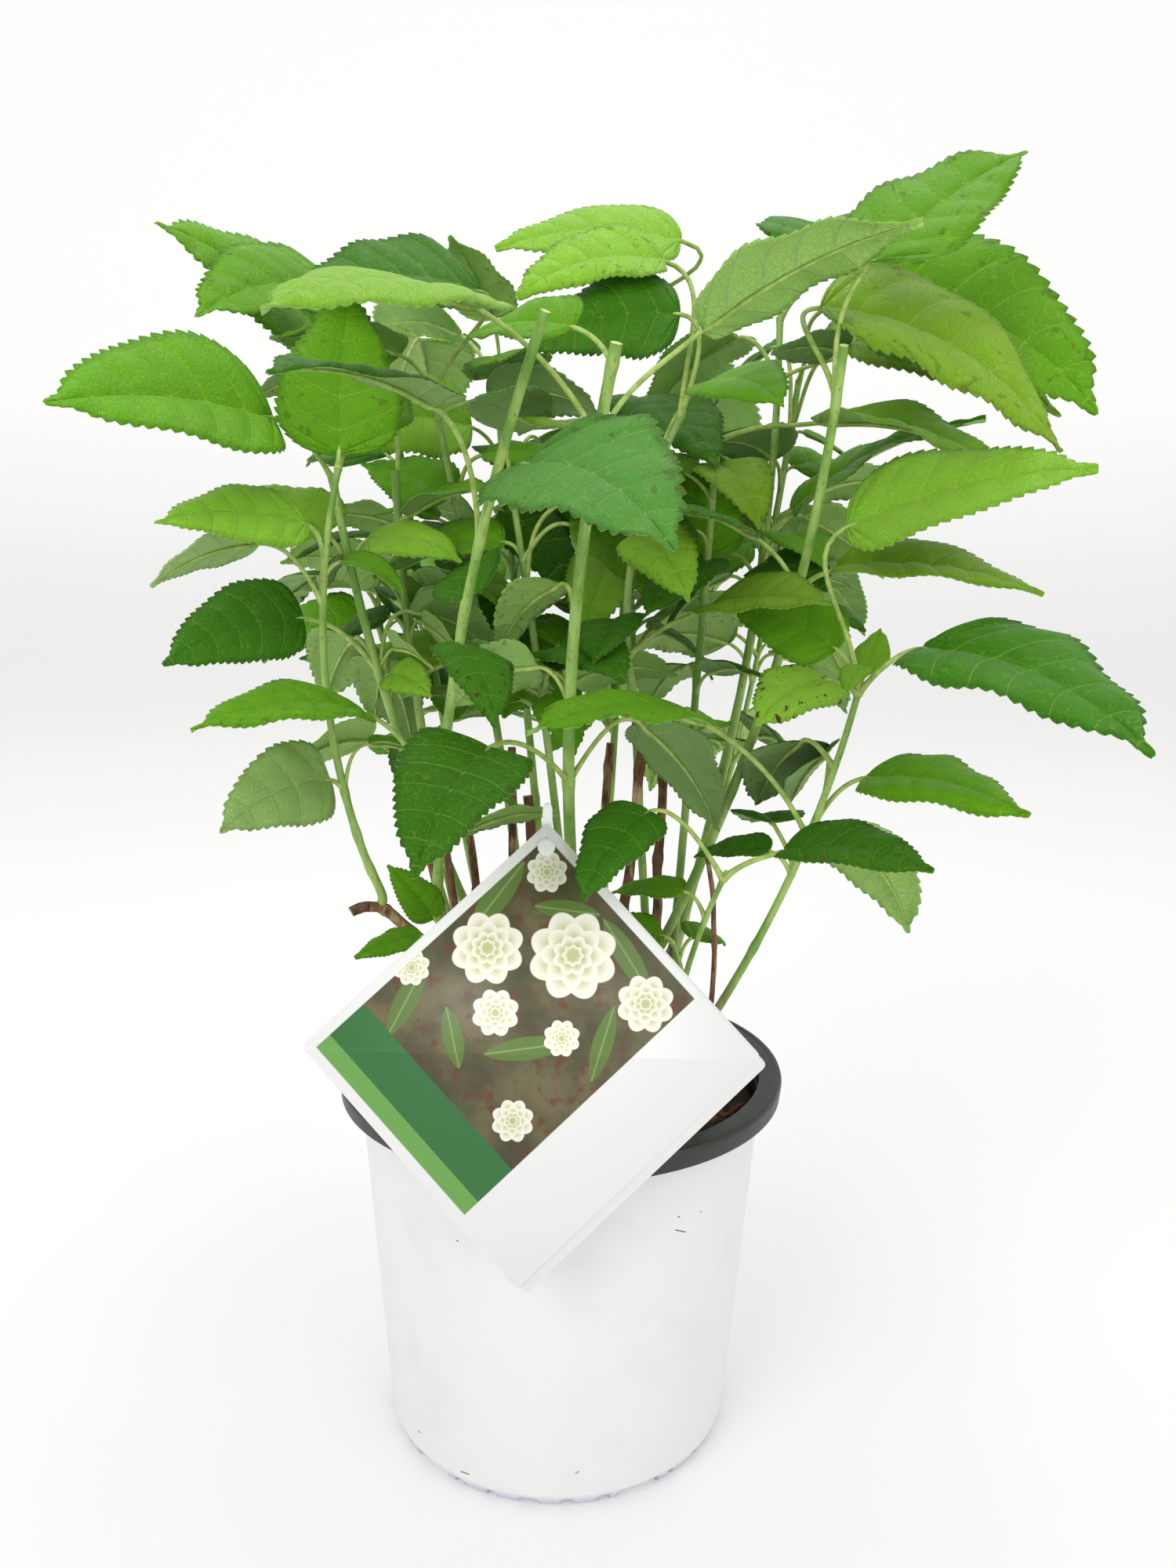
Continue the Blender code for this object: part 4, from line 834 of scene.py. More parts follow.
# Stems, in millimetres: foot (x, y) on the soil, or the old wood it springs from and how far up;
# top (x, y, z); bow of its middle (x, y); thickness at foot and top; share of it that is bare.
# posed: one row for each leaf that the front of the shrub shows: share up the stem, bearing, stalk length
# and rise, turn of the blade from the stalk's bearing, blade length, slope of the blade at its foot, droop
# to its tip, roll.
# grown: leaves that follow the rule: share up the stem, bearing, blade length.
STEMS = {
    "stem_1": dict(
        root=("old_wood_arm", 0.78), top=(-90, -32, 424), bow=(-14, 0), girth=(3.6, 2.6), bare=0.22,
        shades="pmplmm",
        posed=[(0.27, 212, 8, 40, 20, 56, 8, 46, -58), (0.27, 20, 22, 62, 0, 30, 5, 50, 0),
               (0.70, 205, 34, 44, 5, 46, -2, 40, 30), (0.76, 228, 22, 68, -12, 60, 16, 34, -38),
               (0.76, 0, 10, 40, -15, 30, 4, 60, 15), (1.0, 84, 6, 70, 12, 76, 78, 22, 6)],
        grown=[(1.0, 85, 66)]),
    "stem_2": dict(
        root=(-3, 13), top=(-97, -8, 422), bow=(-14, 4), girth=(5.0, 3.4), bare=0.66, shades="dmm",
        posed=[(0.70, 206, 40, 36, 12, 62, 4, 42, -52), (0.70, 30, 30, 62, -10, 50, 0, 60, -30),
               (1.0, 214, 34, 42, 18, 98, 10, 26, -48)],
        grown=[(1.0, 60, 78)]),
    "stem_3": dict(
        root=(-31, 23), top=(-75, 20, 427), bow=(-8, 0), girth=(4.4, 3.6), bare=0.68, shades="mdm",
        posed=[(0.74, 330, 24, 55, -10, 46, 5, 50, -15), (0.92, 130, 74, 66, 20, 70, 10, 40, -10),
               (0.92, 335, 6, 30, 0, 48, 34, 44, 12)],
        grown=[(0.74, 150, 52)]),
    "stem_4": dict(
        root=("old_wood_arm", 0.46), top=(-8, -102, 470), bow=(-12, 6), girth=(4.2, 3.6), bare=0.16,
        shades="mmDdb",
        posed=[(0.21, 205, 60, 60, 14, 72, 22, 46, -14), (0.21, 128, 38, 44, -120, 56, 20, 50, 0),
               (0.50, 285, 16, 40, 10, 48, -6, 60, -10), (0.69, 212, 50, 70, 22, 76, 20, 36, -6),
               (0.69, 298, 45, 36, 5, 92, 4, 46, 30)],
        grown=[(0.50, 90, 50)]),
    "stem_5": dict(
        root=(-9, 31), top=(-60, 34, 462), bow=(4, 0), girth=(4.4, 3.0), bare=0.56, shades="mmdm",
        posed=[(0.60, 20, 12, 50, -10, 56, 60, 20, 0), (0.84, 150, 6, 40, 0, 52, 34, 30, -45),
               (1.0, 345, 48, 62, -125, 86, 10, 36, -40), (1.0, 180, 22, 50, 30, 60, 20, 40, 20)],
        grown=[(0.84, 330, 60), (0.60, 200, 50)]),
    "stem_6": dict(
        root=(19, -13), top=(16, -92, 462), bow=(-16, 14), girth=(5.4, 4.2), bare=0.44, shades="dllm",
        posed=[(0.48, 240, 62, 20, 9, 72, -8, 42, -14), (0.90, 208, 62, 40, 25, 94, 10, 40, -14),
               (0.90, 28, 60, 44, -44, 84, 38, 28, -12), (0.98, 150, 20, 40, 0, 46, 20, 40, -40)],
        grown=[(0.48, 60, 60)]),
    "stem_7": dict(
        root=(9, 3), top=(-24, 4, 420), bow=(3, 0), girth=(4.2, 2.8), bare=0.62, shades="d",
        posed=[(0.66, 290, 26, 45, 0, 58, 10, 60, 10)],
        grown=[(0.66, 110, 56), (0.84, 350, 66), (0.84, 190, 56), (1.0, 100, 74), (1.0, 260, 56)]),
    "stem_8": dict(
        root=(45, 26), top=(28, 60, 432), bow=(-2, 0), girth=(4.4, 3.0), bare=0.68, shades="d",
        posed=[(0.90, 330, 48, 5, 150, 78, 18, 30, -30)],
        grown=[(0.76, 60, 60), (0.76, 240, 60), (1.0, 290, 72), (1.0, 110, 76)]),
    "stem_9": dict(
        root=(31, 17), top=(94, 46, 498), bow=(16, -4), girth=(4.6, 3.0), bare=0.60, shades="md",
        posed=[(0.70, 20, 24, 52, -50, 92, 46, 44, 24), (0.92, 335, 30, 22, -120, 42, 10, 36, 25)],
        grown=[(0.92, 150, 70), (1.0, 60, 80), (1.0, 350, 60)]),
    "stem_10": dict(
        root=("old_wood_6", 1.0), top=(46, -12, 448), bow=(-14, 0), girth=(3.8, 2.6), bare=0.18,
        shades="odmmld",
        posed=[(0.26, 325, 44, 30, -15, 60, 18, 30, 20), (0.26, 205, 18, 45, 40, 46, -20, 40, 10),
               (0.80, 350, 44, 62, -50, 56, 10, 50, 24), (0.80, 205, 14, 30, -60, 40, 20, 50, -20),
               (1.0, 110, 68, 72, 90, 68, 8, 50, -36), (1.0, 196, 40, 88, -12, 68, 6, 40, -60)],
        grown=[(1.0, 320, 40)]),
    "stem_11": dict(
        root=(10, 12), top=(98, -72, 466), bow=(24, 22), girth=(4.8, 3.4), bare=0.60, shades="omo",
        posed=[(0.72, 10, 18, 30, -40, 82, 12, 36, 14), (0.94, 10, 50, 84, 6, 82, 52, 22, 32),
               (0.94, 97, 45, 58, -107, 110, -2, 58, 36)],
        grown=[(0.72, 190, 60)]),
    "stem_12": dict(
        root=(36, -26), top=(112, -62, 341), bow=(12, 4), girth=(4.0, 2.6), bare=0.60, shades="mmdmLlll",
        posed=[(0.68, 195, 66, 40, 20, 86, 20, 50, -10), (0.68, 345, 34, 50, -30, 70, 14, 36, 14),
               (1.0, 335, 30, 38, -32, 104, 4, 38, 14), (1.0, 120, 20, 62, 20, 50, 38, 30, -50),
               (1.0, 215, 18, 20, 10, 50, 5, 40, -20), (1.0, 100, 66, 74, -130, 92, 26, 26, 38),
               (1.0, 70, 10, 60, 0, 25, 60, 10, 0), (1.0, 270, 12, 70, -30, 20, 0, 60, 0)],
        grown=[]),
    "stem_13": dict(
        root=(44, -44), top=(64, -62, 270), bow=(-6, 6), girth=(3.0, 2.2), bare=0.68, shades="ddm",
        posed=[(0.97, 335, 28, 30, -15, 62, 22, 40, 12), (0.97, 192, 42, 42, 35, 48, -10, 60, -10),
               (0.82, 160, 14, 50, 0, 32, 12, 40, -15)],
        grown=[]),
    "stem_14": dict(
        root=(47, 12), top=(64, 12, 442), bow=(0, 0), girth=(4.2, 2.8), bare=0.66, shades="dml",
        posed=[(0.77, 270, 18, 55, -40, 54, -5, 40, 0), (0.81, 100, 6, 50, 0, 60, 68, 30, 0),
               (1.0, 0, 44, 5, -35, 84, -2, 40, 10)],
        grown=[(0.77, 110, 60), (1.0, 150, 70)]),
    "stem_15": dict(
        root=(41, 40), top=(112, 92, 478), bow=(6, 0), girth=(4.6, 3.0), bare=0.58, shades="om",
        posed=[(0.92, 291, 62, 34, 32, 102, 0, 44, 22), (1.0, 277, 82, 16, 55, 114, 2, 58, 54)],
        grown=[(0.68, 20, 80), (0.68, 200, 70), (0.92, 110, 84), (1.0, 60, 84)]),
    "stem_16": dict(
        root=(-1, 44), top=(-36, 108, 470), bow=(0, 0), girth=(4.6, 3.0), bare=0.56, shades="mll",
        posed=[(1.0, 284, 46, 20, -25, 62, 24, 34, 10), (1.0, 330, 118, 33, -140, 86, 12, 36, -40),
               (1.0, 240, 38, 84, 10, 54, 46, 30, 0)],
        grown=[(0.62, 150, 70), (0.62, 330, 66), (0.82, 60, 84), (0.82, 240, 80), (1.0, 120, 80)]),
    "stem_17": dict(
        root=(-24, 44), top=(-84, 84, 462), bow=(-4, 0), girth=(4.4, 3.0), bare=0.54, shades="mm",
        posed=[(1.0, 190, 44, 46, 38, 95, 36, 32, -58), (1.0, 238, 58, 46, 0, 90, 0, 44, -40)],
        grown=[(0.62, 140, 66), (0.62, 330, 60), (0.82, 110, 78), (0.82, 290, 70), (1.0, 60, 84)]),
    "stem_18": dict(
        root=(16, 54), top=(34, 132, 446), bow=(0, 0), girth=(4.4, 3.0), bare=0.52,
        posed=[],
        grown=[(0.60, 40, 76), (0.60, 220, 70), (0.80, 130, 84), (0.80, 310, 80), (1.0, 60, 88),
               (1.0, 240, 84)]),
    "stem_19": dict(
        root=(34, 52), top=(108, 136, 372), bow=(10, 8), girth=(3.8, 2.6), bare=0.52,
        posed=[],
        grown=[(0.60, 120, 62), (0.60, 300, 62), (1.0, 30, 80), (1.0, 210, 76), (1.0, 110, 70)]),
    "stem_20": dict(
        root=(-34, 54), top=(-98, 116, 366), bow=(-8, 8), girth=(3.8, 2.6), bare=0.52,
        posed=[],
        grown=[(0.60, 210, 62), (0.60, 30, 62), (1.0, 140, 80), (1.0, 320, 76), (1.0, 60, 70)]),
    "stem_21": dict(
        root=(-30, -26), top=(-50, -38, 238), bow=(-4, 0), girth=(2.8, 2.2), bare=0.62, shades="mm",
        posed=[(0.96, 205, 9, 10, 5, 30, 4, 26, -14), (1.0, 150, 6, 50, 20, 30, 56, 20, -44)],
        grown=[]),
    "stem_22": dict(
        root=(60, -18), top=(46, -34, 232), bow=(4, 0), girth=(2.6, 2.0), bare=0.62, shades="mm",
        posed=[(1.0, 200, 6, 40, 0, 36, 20, 60, -30), (0.9, 20, 12, 40, 0, 30, 10, 60, 20)],
        grown=[]),
}
print("stems", len(STEMS), "old wood", len(OLD_WOOD))

# %% [markdown]
# A limb is a bowed line that tapers evenly. It could be a curve object from the start, but the rule asks
# for points and directions along it all the time, and a small class answers faster.

# %% Limbs


def level(bearing):
    """Unit vector along the level in this bearing."""
    angle = math.radians(bearing)
    return Vector((math.cos(angle), math.sin(angle), 0))


def heading(bearing, pitch):
    """Unit vector in this bearing, pitched up from the level."""
    angle = math.radians(pitch)
    return level(bearing) * math.cos(angle) + UP * math.sin(angle)


class Limb:
    """A stem or a piece of old wood: a bowed line from foot to top that tapers evenly."""

    def __init__(self, foot, top, bow, girth, foothold=UP):
        self.foot, self.top, self.bow = Vector(foot), Vector(top), Vector(bow)
        self.girth = girth
        self.foothold = foothold    # the way it leaves what it stands on

    def at(self, share):
        return self.foot.lerp(self.top, share) + self.bow * (4 * share * (1 - share))

    def direction(self, share):
        return (self.at(share + 0.01) - self.at(share - 0.01)).normalized()

    def radius(self, share):
        return (self.girth[0] + (self.girth[1] - self.girth[0]) * share) / 2

    def stretch(self, start, end, steps):
        """Points and radii from one share to another."""
        shares = [start + (end - start) * i / steps for i in range(steps + 1)]
        return [self.at(share) for share in shares], [self.radius(share) for share in shares]


print("towards +X, half way up", [round(value, 3) for value in heading(0, 45)])

# %% [markdown]
# A leaf is a stalk from its node and a blade that arches over from the stalk's end. Its midrib is an even
# arc, and its two halves fold up from the midrib and cup down at the edges. Angles pose it: bearing and
# rise of the stalk, then turn, pitch, droop and roll of the blade.

# %% Leaves


def blade_outline(along):
    """Half width of a blade, as a share of its widest, from foot (0) to drawn-out tip (1)."""
    body = math.sin(math.pi * max(along, 0.004) ** 0.62) if along < 1 else 0
    return max(0.035, max(body, 0) ** 0.75 * (1 - 0.25 * along) / 0.93)


class Leaf:
    """One leaf: a stalk from its node, and a blade that arches over from the stalk's end."""

    def __init__(self, node, row, rng):
        _, bearing, stalk, rise, turn, blade, pitch, droop, roll = row
        self.node, self.bearing, self.stalk, self.rise = node, bearing, stalk * MM, rise
        self.turn, self.length, self.roll = turn, blade * MM, roll
        self.pitch, self.droop = pitch, max(droop, 1)
        self.fold = math.radians(rng.uniform(10, 24))
        self.cup = rng.uniform(0.10, 0.22)
        self.sweep = rng.uniform(-0.07, 0.07)

    def turned(self, bearing, pitch):
        """The same leaf swung round its node and tilted."""
        other = copy.copy(self)
        other.bearing += bearing
        other.rise += pitch
        other.pitch += pitch
        return other

    def base(self):
        return self.node + heading(self.bearing, self.rise) * self.stalk

    def stalk_at(self, share):
        """Point on the stalk, a curve that leaves the stem steeply and meets the blade in line with it."""
        start, end = self.node, self.base()
        first = start + heading(self.bearing, self.rise + 18) * self.stalk * 0.38
        last = end - heading(self.bearing + self.turn, self.pitch) * self.stalk * 0.38
        rest = 1 - share
        return (start * rest ** 3 + first * 3 * rest * rest * share + last * 3 * rest * share * share
                + end * share ** 3)

    def rib_at(self, along):
        """Point on the midrib: an even arc that loses the droop from foot to tip."""
        pitch, droop = math.radians(self.pitch), math.radians(self.droop)
        later = pitch - droop * along
        reach = self.length / droop * (math.sin(pitch) - math.sin(later))
        height = self.length / droop * (math.cos(later) - math.cos(pitch))
        ahead = level(self.bearing + self.turn)
        side = UP.cross(ahead)
        return self.base() + ahead * reach + UP * height + side * (self.sweep * self.length * along * along)

    def frame(self, along):
        """Level side and upward normal of the blade here, rolled."""
        forward = heading(self.bearing + self.turn, self.pitch - self.droop * along)
        side = UP.cross(level(self.bearing + self.turn))
        tilt = Matrix.Rotation(math.radians(self.roll), 3, forward)
        return tilt @ side, tilt @ forward.cross(side)

    def blade_at(self, along, across):
        """Point on the blade: across runs from -1, the right edge, to 1, the left edge."""
        side, normal = self.frame(along)
        half = self.length * BLADE_HALF_WIDTH * blade_outline(along)
        fold = self.fold * (1 - 0.35 * along)
        lift = abs(across) * math.sin(fold) - self.cup * across * across
        return self.rib_at(along) + side * (half * across * math.cos(fold)) + normal * (half * lift)


print("half width from foot to tip", [round(blade_outline(fifth / 5), 2) for fifth in range(6)])

# %% [markdown]
# The rule keeps leaves clear of one another. A finished blade has thousands of corners, too many to test
# again and again, so room is looked for with coarse shells. They are the shapes of the CAD's own solids,
# and the finished leaves made later take the same poses.

# %% Coarse shells


def tube(points, radii, sides):
    """Shell of a limb of varying radius through the points, its rings carried along without twist."""
    corners, across = [], None
    for index, (point, radius) in enumerate(zip(points, radii)):
        ahead = points[min(index + 1, len(points) - 1)] - points[max(index - 1, 0)]
        ahead.normalize()
        across = ahead.orthogonal() if across is None else across - ahead * across.dot(ahead)
        across.normalize()
        beside = ahead.cross(across)
        for side in range(sides):
            angle = 2 * math.pi * side / sides
            corners.append(point + (across * math.cos(angle) + beside * math.sin(angle)) * radius)
    return corners, ring_faces(sides, len(points))


def blade_shell(leaf, thickness):
    """Closed shell of the blade: its upper and lower skins, two lanes wide, and the rim between them."""
    stations = LARGE_STATIONS if leaf.length > LARGE_LEAF else SMALL_STATIONS
    lanes = (-1, 0, 1)
    corners, faces = [], []
    for lift in (0.5, -0.5):
        for along in stations:
            normal = leaf.frame(along)[1]
            corners += [leaf.blade_at(along, across) + normal * (lift * thickness) for across in lanes]
    lower = len(stations) * len(lanes)
    for row in range(len(stations) - 1):
        for lane in range(len(lanes) - 1):
            here = row * len(lanes) + lane
            quad = (here, here + len(lanes), here + len(lanes) + 1, here + 1)
            faces.append(quad)
            faces.append(tuple(lower + corner for corner in reversed(quad)))
    border = [row * len(lanes) for row in range(len(stations) - 1)]
    border += [lower - len(lanes) + lane for lane in range(len(lanes) - 1)]
    border += [row * len(lanes) + len(lanes) - 1 for row in range(len(stations) - 1, 0, -1)]
    border += [lane for lane in range(len(lanes) - 1, 0, -1)]
    for here, after in zip(border, border[1:] + border[:1]):
        faces.append((after, here, lower + here, lower + after))
    return corners, faces


def stalk_radius(leaf):
    return min(STALK_RADIUS, 0.55 * MM + leaf.length * 0.009)


def stalk_line(leaf):
    """Points and radii of the stalk, run on a little way under the blade's midrib."""
    steps = 2 if leaf.stalk < 36 * MM else 3
    radius = stalk_radius(leaf)
    points = [leaf.stalk_at(step / steps) for step in range(steps + 1)] + [leaf.rib_at(STALK_SINK)]
    radii = [radius * 1.25] + [radius] * (steps - 1) + [radius * 0.9, radius * 0.75]
    return points, radii


def blade_thickness(leaf):
    return max(THINNEST_BLADE, leaf.length * BLADE_THICKNESS)


print("faces of a coarse limb", len(tube([Vector(), UP], [1, 1], LIMB_SIDES)[1]))

# %% [markdown]
# A leaf is tried in its own pose first and then with small turns, against all that already stands. A tree
# of boxes round the faces answers quickly whether two shells touch. A leaf that finds no room is left out.

# %% Finding room for a leaf


class Thicket:
    """What already stands in the crown, and the stem it belongs to, so that each leaf keeps clear of it."""

    def __init__(self):
        self.standing = []

    def add(self, shell, owner, is_limb=False):
        self.standing.append((owner, is_limb, BVHTree.FromPolygons(*shell)))

    def is_free(self, shell, apart_from=None, beside=None):
        """Whether it touches nothing. apart_from leaves a stem out, beside tests only a stem's leaves."""
        probe = BVHTree.FromPolygons(*shell)
        for owner, is_limb, tree in self.standing:
            if owner == apart_from or (beside and (owner != beside or is_limb)):
                continue
            if probe.overlap(tree):
                return False
        return True


TRIES = [(0, 0)] + [(side * bearing, pitch) for bearing in (0, 7, 14, 22, 30, 40)
                    for pitch in (0, 6, -6, 12, -12, 20) for side in (1, -1) if bearing or pitch]


def within_reach(leaf):
    """Whether the blade stays over the pot's rim and inside the crown."""
    places = [leaf.blade_at(along, across) for along in (0.4, 0.7, 1.0) for across in (-1, 0, 1)]
    return all(place.z > CROWN_FLOOR and place.xy.length < CROWN_REACH for place in places)


def settle_leaf(leaf, stem_name, thicket, margin=0.5 * MM):
    """The first pose of the leaf, of a few small turns, that touches nothing; None where there is none."""
    for bearing, pitch in TRIES:
        pose = leaf.turned(bearing, pitch)
        if not within_reach(pose):
            continue
        blade = blade_shell(pose, blade_thickness(pose) + 2 * margin)
        points, radii = stalk_line(pose)
        radii = [radius + margin for radius in radii]
        whole, outer = tube(points, radii, 3), tube(points[1:], radii[1:], 3)
        if (thicket.is_free(blade) and thicket.is_free(whole, apart_from=stem_name)
                and thicket.is_free(outer, beside=stem_name)):
            thicket.add(blade, stem_name)
            thicket.add(whole, stem_name)
            return pose
    return None


def grown_rows(stem, rng):
    """Rows by the rule for the leaves that only have a place, a bearing and a length."""
    rows = []
    for share, bearing, blade in stem["grown"]:
        length = blade * rng.uniform(0.9, 1.08)
        rows.append((share, bearing + rng.uniform(-12, 12), length * rng.uniform(0.36, 0.62),
                     rng.uniform(36, 66), rng.uniform(-24, 24), length, rng.uniform(-24, 40),
                     rng.uniform(30, 56), rng.uniform(-52, 52)))
    return rows


print("poses tried for a leaf", len(TRIES))

# %% [markdown]
# The table's rows become limbs in metres. Most stems stand on the bark mix. Some spring from the side of a
# piece of old wood, square to its bark, or from its cut end.

# %% Limbs from the table


def stem_limbs():
    """Every stem and piece of old wood as a Limb, by name."""
    foot_height = SOIL_TOP + GAP
    limbs = {}
    for name, (foot, top, bow, girth) in OLD_WOOD.items():
        start = Vector((foot[0] * MM, foot[1] * MM, foot_height))
        limbs[name] = Limb(start, Vector(top) * MM, Vector(bow) * MM, (girth * MM, girth * MM * 0.86))
    for name, stem in STEMS.items():
        root, girth = stem["root"], [value * MM for value in stem["girth"]]
        if isinstance(root[0], str):
            wood, grain = limbs[root[0]], limbs[root[0]].direction(min(root[1], 0.99))
            if root[1] == 1.0:
                foothold, clear = grain, GAP
            else:
                foothold = (UP - grain * UP.dot(grain)).normalized()
                clear = wood.radius(root[1]) * 0.95 + GAP
            start = wood.at(root[1]) + foothold * clear
        else:
            start, foothold = Vector((root[0] * MM, root[1] * MM, foot_height)), UP
        bow = Vector((*stem["bow"], 0)) * MM
        limbs[name] = Limb(start, Vector(stem["top"]) * MM, bow, girth, foothold)
    return limbs


def foot_line(limb, end, steps):
    """Points and radii from a foot square to its foothold, slightly flared, to a share of the limb."""
    points, radii = limb.stretch(0, end, steps)
    points[1:1] = [points[0] + limb.foothold * 2.5 * MM]
    radii[1:1] = [radii[0]]
    radii[0] *= 1.15
    return points, radii


def straight_end(points, radii, direction, run=2.5 * MM):
    """End the line on a short straight run, so that its cut end is square to it."""
    return points + [points[-1] + direction * run], radii + [radii[-1]]


print("limbs", len(stem_limbs()))

# %% [markdown]
# The solids have the shrub's main leaves. Here the rule is carried further: every longer stem also tries
# small leaves in pairs between the main ones, which fill the middle of the crown. They keep to the room
# that is left and stay behind the shrub's front.

# %% Finer growth
FINE_PAIRS = 4
SHORT_STEM = 300          # millimetres: stems that end below this bear no fine leaves
FINE_FRONT = -42 * MM     # the fine leaves' middles stay behind this


def fine_rows(stem, rng):
    """Rows for pairs of small leaves along the leafy part of a stem."""
    rows = []
    if stem["top"][2] < SHORT_STEM:
        return rows
    for _ in range(FINE_PAIRS if stem["bare"] > 0.4 else 1):
        share, bearing = rng.uniform(0.9 * stem["bare"], 0.97), rng.uniform(0, 360)
        for turn in (0, 180):
            length = rng.uniform(30, 64)
            rows.append((share, bearing + turn + rng.uniform(-15, 15), length * rng.uniform(0.3, 0.5),
                         rng.uniform(20, 60), rng.uniform(-30, 30), length, rng.uniform(-24, 34),
                         rng.uniform(30, 60), rng.uniform(-46, 46)))
    return rows


# %% [markdown]
# The order decides who gets the room. The card, the stake and the limbs stand first, then come the leaves
# with a row of their own, the leaves of the rule and the small ones. The small leaves draw from a seed of
# their own, so one more of them never moves a main one.

# %% Settle the whole shrub


def settle_plant():
    """The limbs by name, and the leaves of each stem with the letter of their colour."""
    limbs, thicket, rng = stem_limbs(), Thicket(), random.Random(SEED)
    for name in ("tag_card", "tag_stake"):
        mesh = frame["nodes"][name].data
        thicket.add(([v.co for v in mesh.vertices], [list(p.vertices) for p in mesh.polygons]), name)
    for name in OLD_WOOD:
        bent = name == "old_wood_arm"
        steps, sides = (10, 8) if bent else (3, LIMB_SIDES)
        thicket.add(tube(*foot_line(limbs[name], 1.0, steps), sides), name, True)
    for name, stem in STEMS.items():
        limb, join = limbs[name], stem["bare"]
        ahead = limb.direction(join)
        points, radii = straight_end(*foot_line(limb, join, 3), ahead)
        upper, upper_radii = limb.stretch(join, 1.0, 3)
        start = points[-1] + ahead * GAP
        upper[:1] = [start, start + ahead * 2.5 * MM]
        upper_radii[:1] = [upper_radii[0]] * 2
        for shell in (tube(points, radii, LIMB_SIDES), tube(upper, upper_radii, LIMB_SIDES)):
            thicket.add(shell, name, True)
    leaves = {kind: {name: [] for name in STEMS} for kind in ("main", "fine")}
    shade_draw, fine_draw = random.Random(7), random.Random(19)
    for kind in ("posed", "grown", "fine"):
        for name, stem in STEMS.items():
            if kind == "posed":
                rows, letters = stem["posed"], stem.get("shades", "")
            else:
                rows = grown_rows(stem, rng) if kind == "grown" else fine_rows(stem, fine_draw)
                letters = shade_draw.choices("dmlobD", (5, 6, 4, 1, 1, 1), k=len(rows))
            for row, letter in zip(rows, letters):
                plan = Leaf(limbs[name].at(min(row[0], 0.995)), row, fine_draw if kind == "fine" else rng)
                leaf = settle_leaf(plan, name, thicket)
                if leaf and (kind != "fine" or leaf.rib_at(0.6).y > FINE_FRONT):
                    leaf.shade = letter
                    leaves["fine" if kind == "fine" else "main"][name].append(leaf)
    return limbs, leaves


limbs, leaves = settle_plant()
every_leaf = [leaf for kind in leaves.values() for found in kind.values() for leaf in found]
print("leaves", len(every_leaf), "of these fine ones", sum(len(found) for found in leaves["fine"].values()))

# %% [markdown]
# ## Stems and old wood
# Limbs are drawn as curves whose points carry the limb's radius, with swollen nodes where leaves stand or
# stood. One Geometry Nodes tree sweeps a circle along them, and lifts the surface by a noise that is
# stretched along the limb. Each green stem runs on from its foot to its tip.

# %% Tree that sweeps limbs
sweep_tree, given = new_tree("swept limbs", {
    "Ring Spacing": "Float", "Sides": "Int", "Relief": "Float", "Relief Scale": "Float", "Stretch": "Float",
    "Finish": "Material"})
rings = add_node(sweep_tree, "GeometryNodeResampleCurve", {"mode": "LENGTH"},
                 {"Curve": given["Geometry"], "Length": given["Ring Spacing"]})
circle = add_node(sweep_tree, "GeometryNodeCurvePrimitiveCircle", {},
                  {"Resolution": given["Sides"], "Radius": 1.0})
own_radius = add_node(sweep_tree, "GeometryNodeInputRadius")
swept = add_node(sweep_tree, "GeometryNodeCurveToMesh", {},
                 {"Curve": rings, "Profile Curve": circle, "Scale": own_radius, "Fill Caps": True})
position = add_node(sweep_tree, "GeometryNodeInputPosition")
squeeze = add_node(sweep_tree, "ShaderNodeCombineXYZ", {}, [1.0, 1.0, given["Stretch"]])
stretched = add_node(sweep_tree, "ShaderNodeVectorMath", {"operation": "MULTIPLY"}, [position, squeeze])
coarse = add_node(sweep_tree, "ShaderNodeTexNoise", {},
                  {"Vector": stretched, "Scale": given["Relief Scale"], "Detail": 3.0, "Roughness": 0.6})
push = (coarse - 0.5) * given["Relief"]
offset = add_node(sweep_tree, "ShaderNodeVectorMath", {"operation": "SCALE"},
                  {0: add_node(sweep_tree, "GeometryNodeInputNormal"), "Scale": push})
lifted = add_node(sweep_tree, "GeometryNodeSetPosition", {}, {"Geometry": swept, "Offset": offset})
end_tree(sweep_tree, lifted, given["Finish"])
print("nodes of the sweep", len(sweep_tree.nodes))


def swept_limbs(name, lines, values, *materials):
    """One mesh of limbs swept along these lines of (point, radius)."""
    curve = bpy.data.curves.new(name, "CURVE")
    curve.dimensions = "3D"
    for line in lines:
        spline = curve.splines.new("POLY")
        spline.points.add(len(line) - 1)
        for point, (place, radius) in zip(spline.points, line):
            point.co, point.radius = (*place, 1), radius
    made = grown(show(name, curve), sweep_tree, name, {**values, "Finish": materials[0]}, *materials)
    for polygon in made.data.polygons:
        polygon.material_index = len(materials) - 1 if len(polygon.vertices) > 4 else 0
    return made


def swollen(share, nodes, width, amount):
    """How many times its plain radius a limb has here, with a soft knot at each node."""
    return 1 + amount * sum(math.exp(-((share - node) / width) ** 2) for node in nodes)


# %% [markdown]
# Old wood is brown, with bark that splits and peels lengthwise and knots where buds stood. It was cut back,
# so each piece ends in a pale cut. One piece is bent over to the left and carries two stems. The crooks and
# knots are in the curves, the splits in the sweep's relief, because both show on the outline, where a bump
# never does.

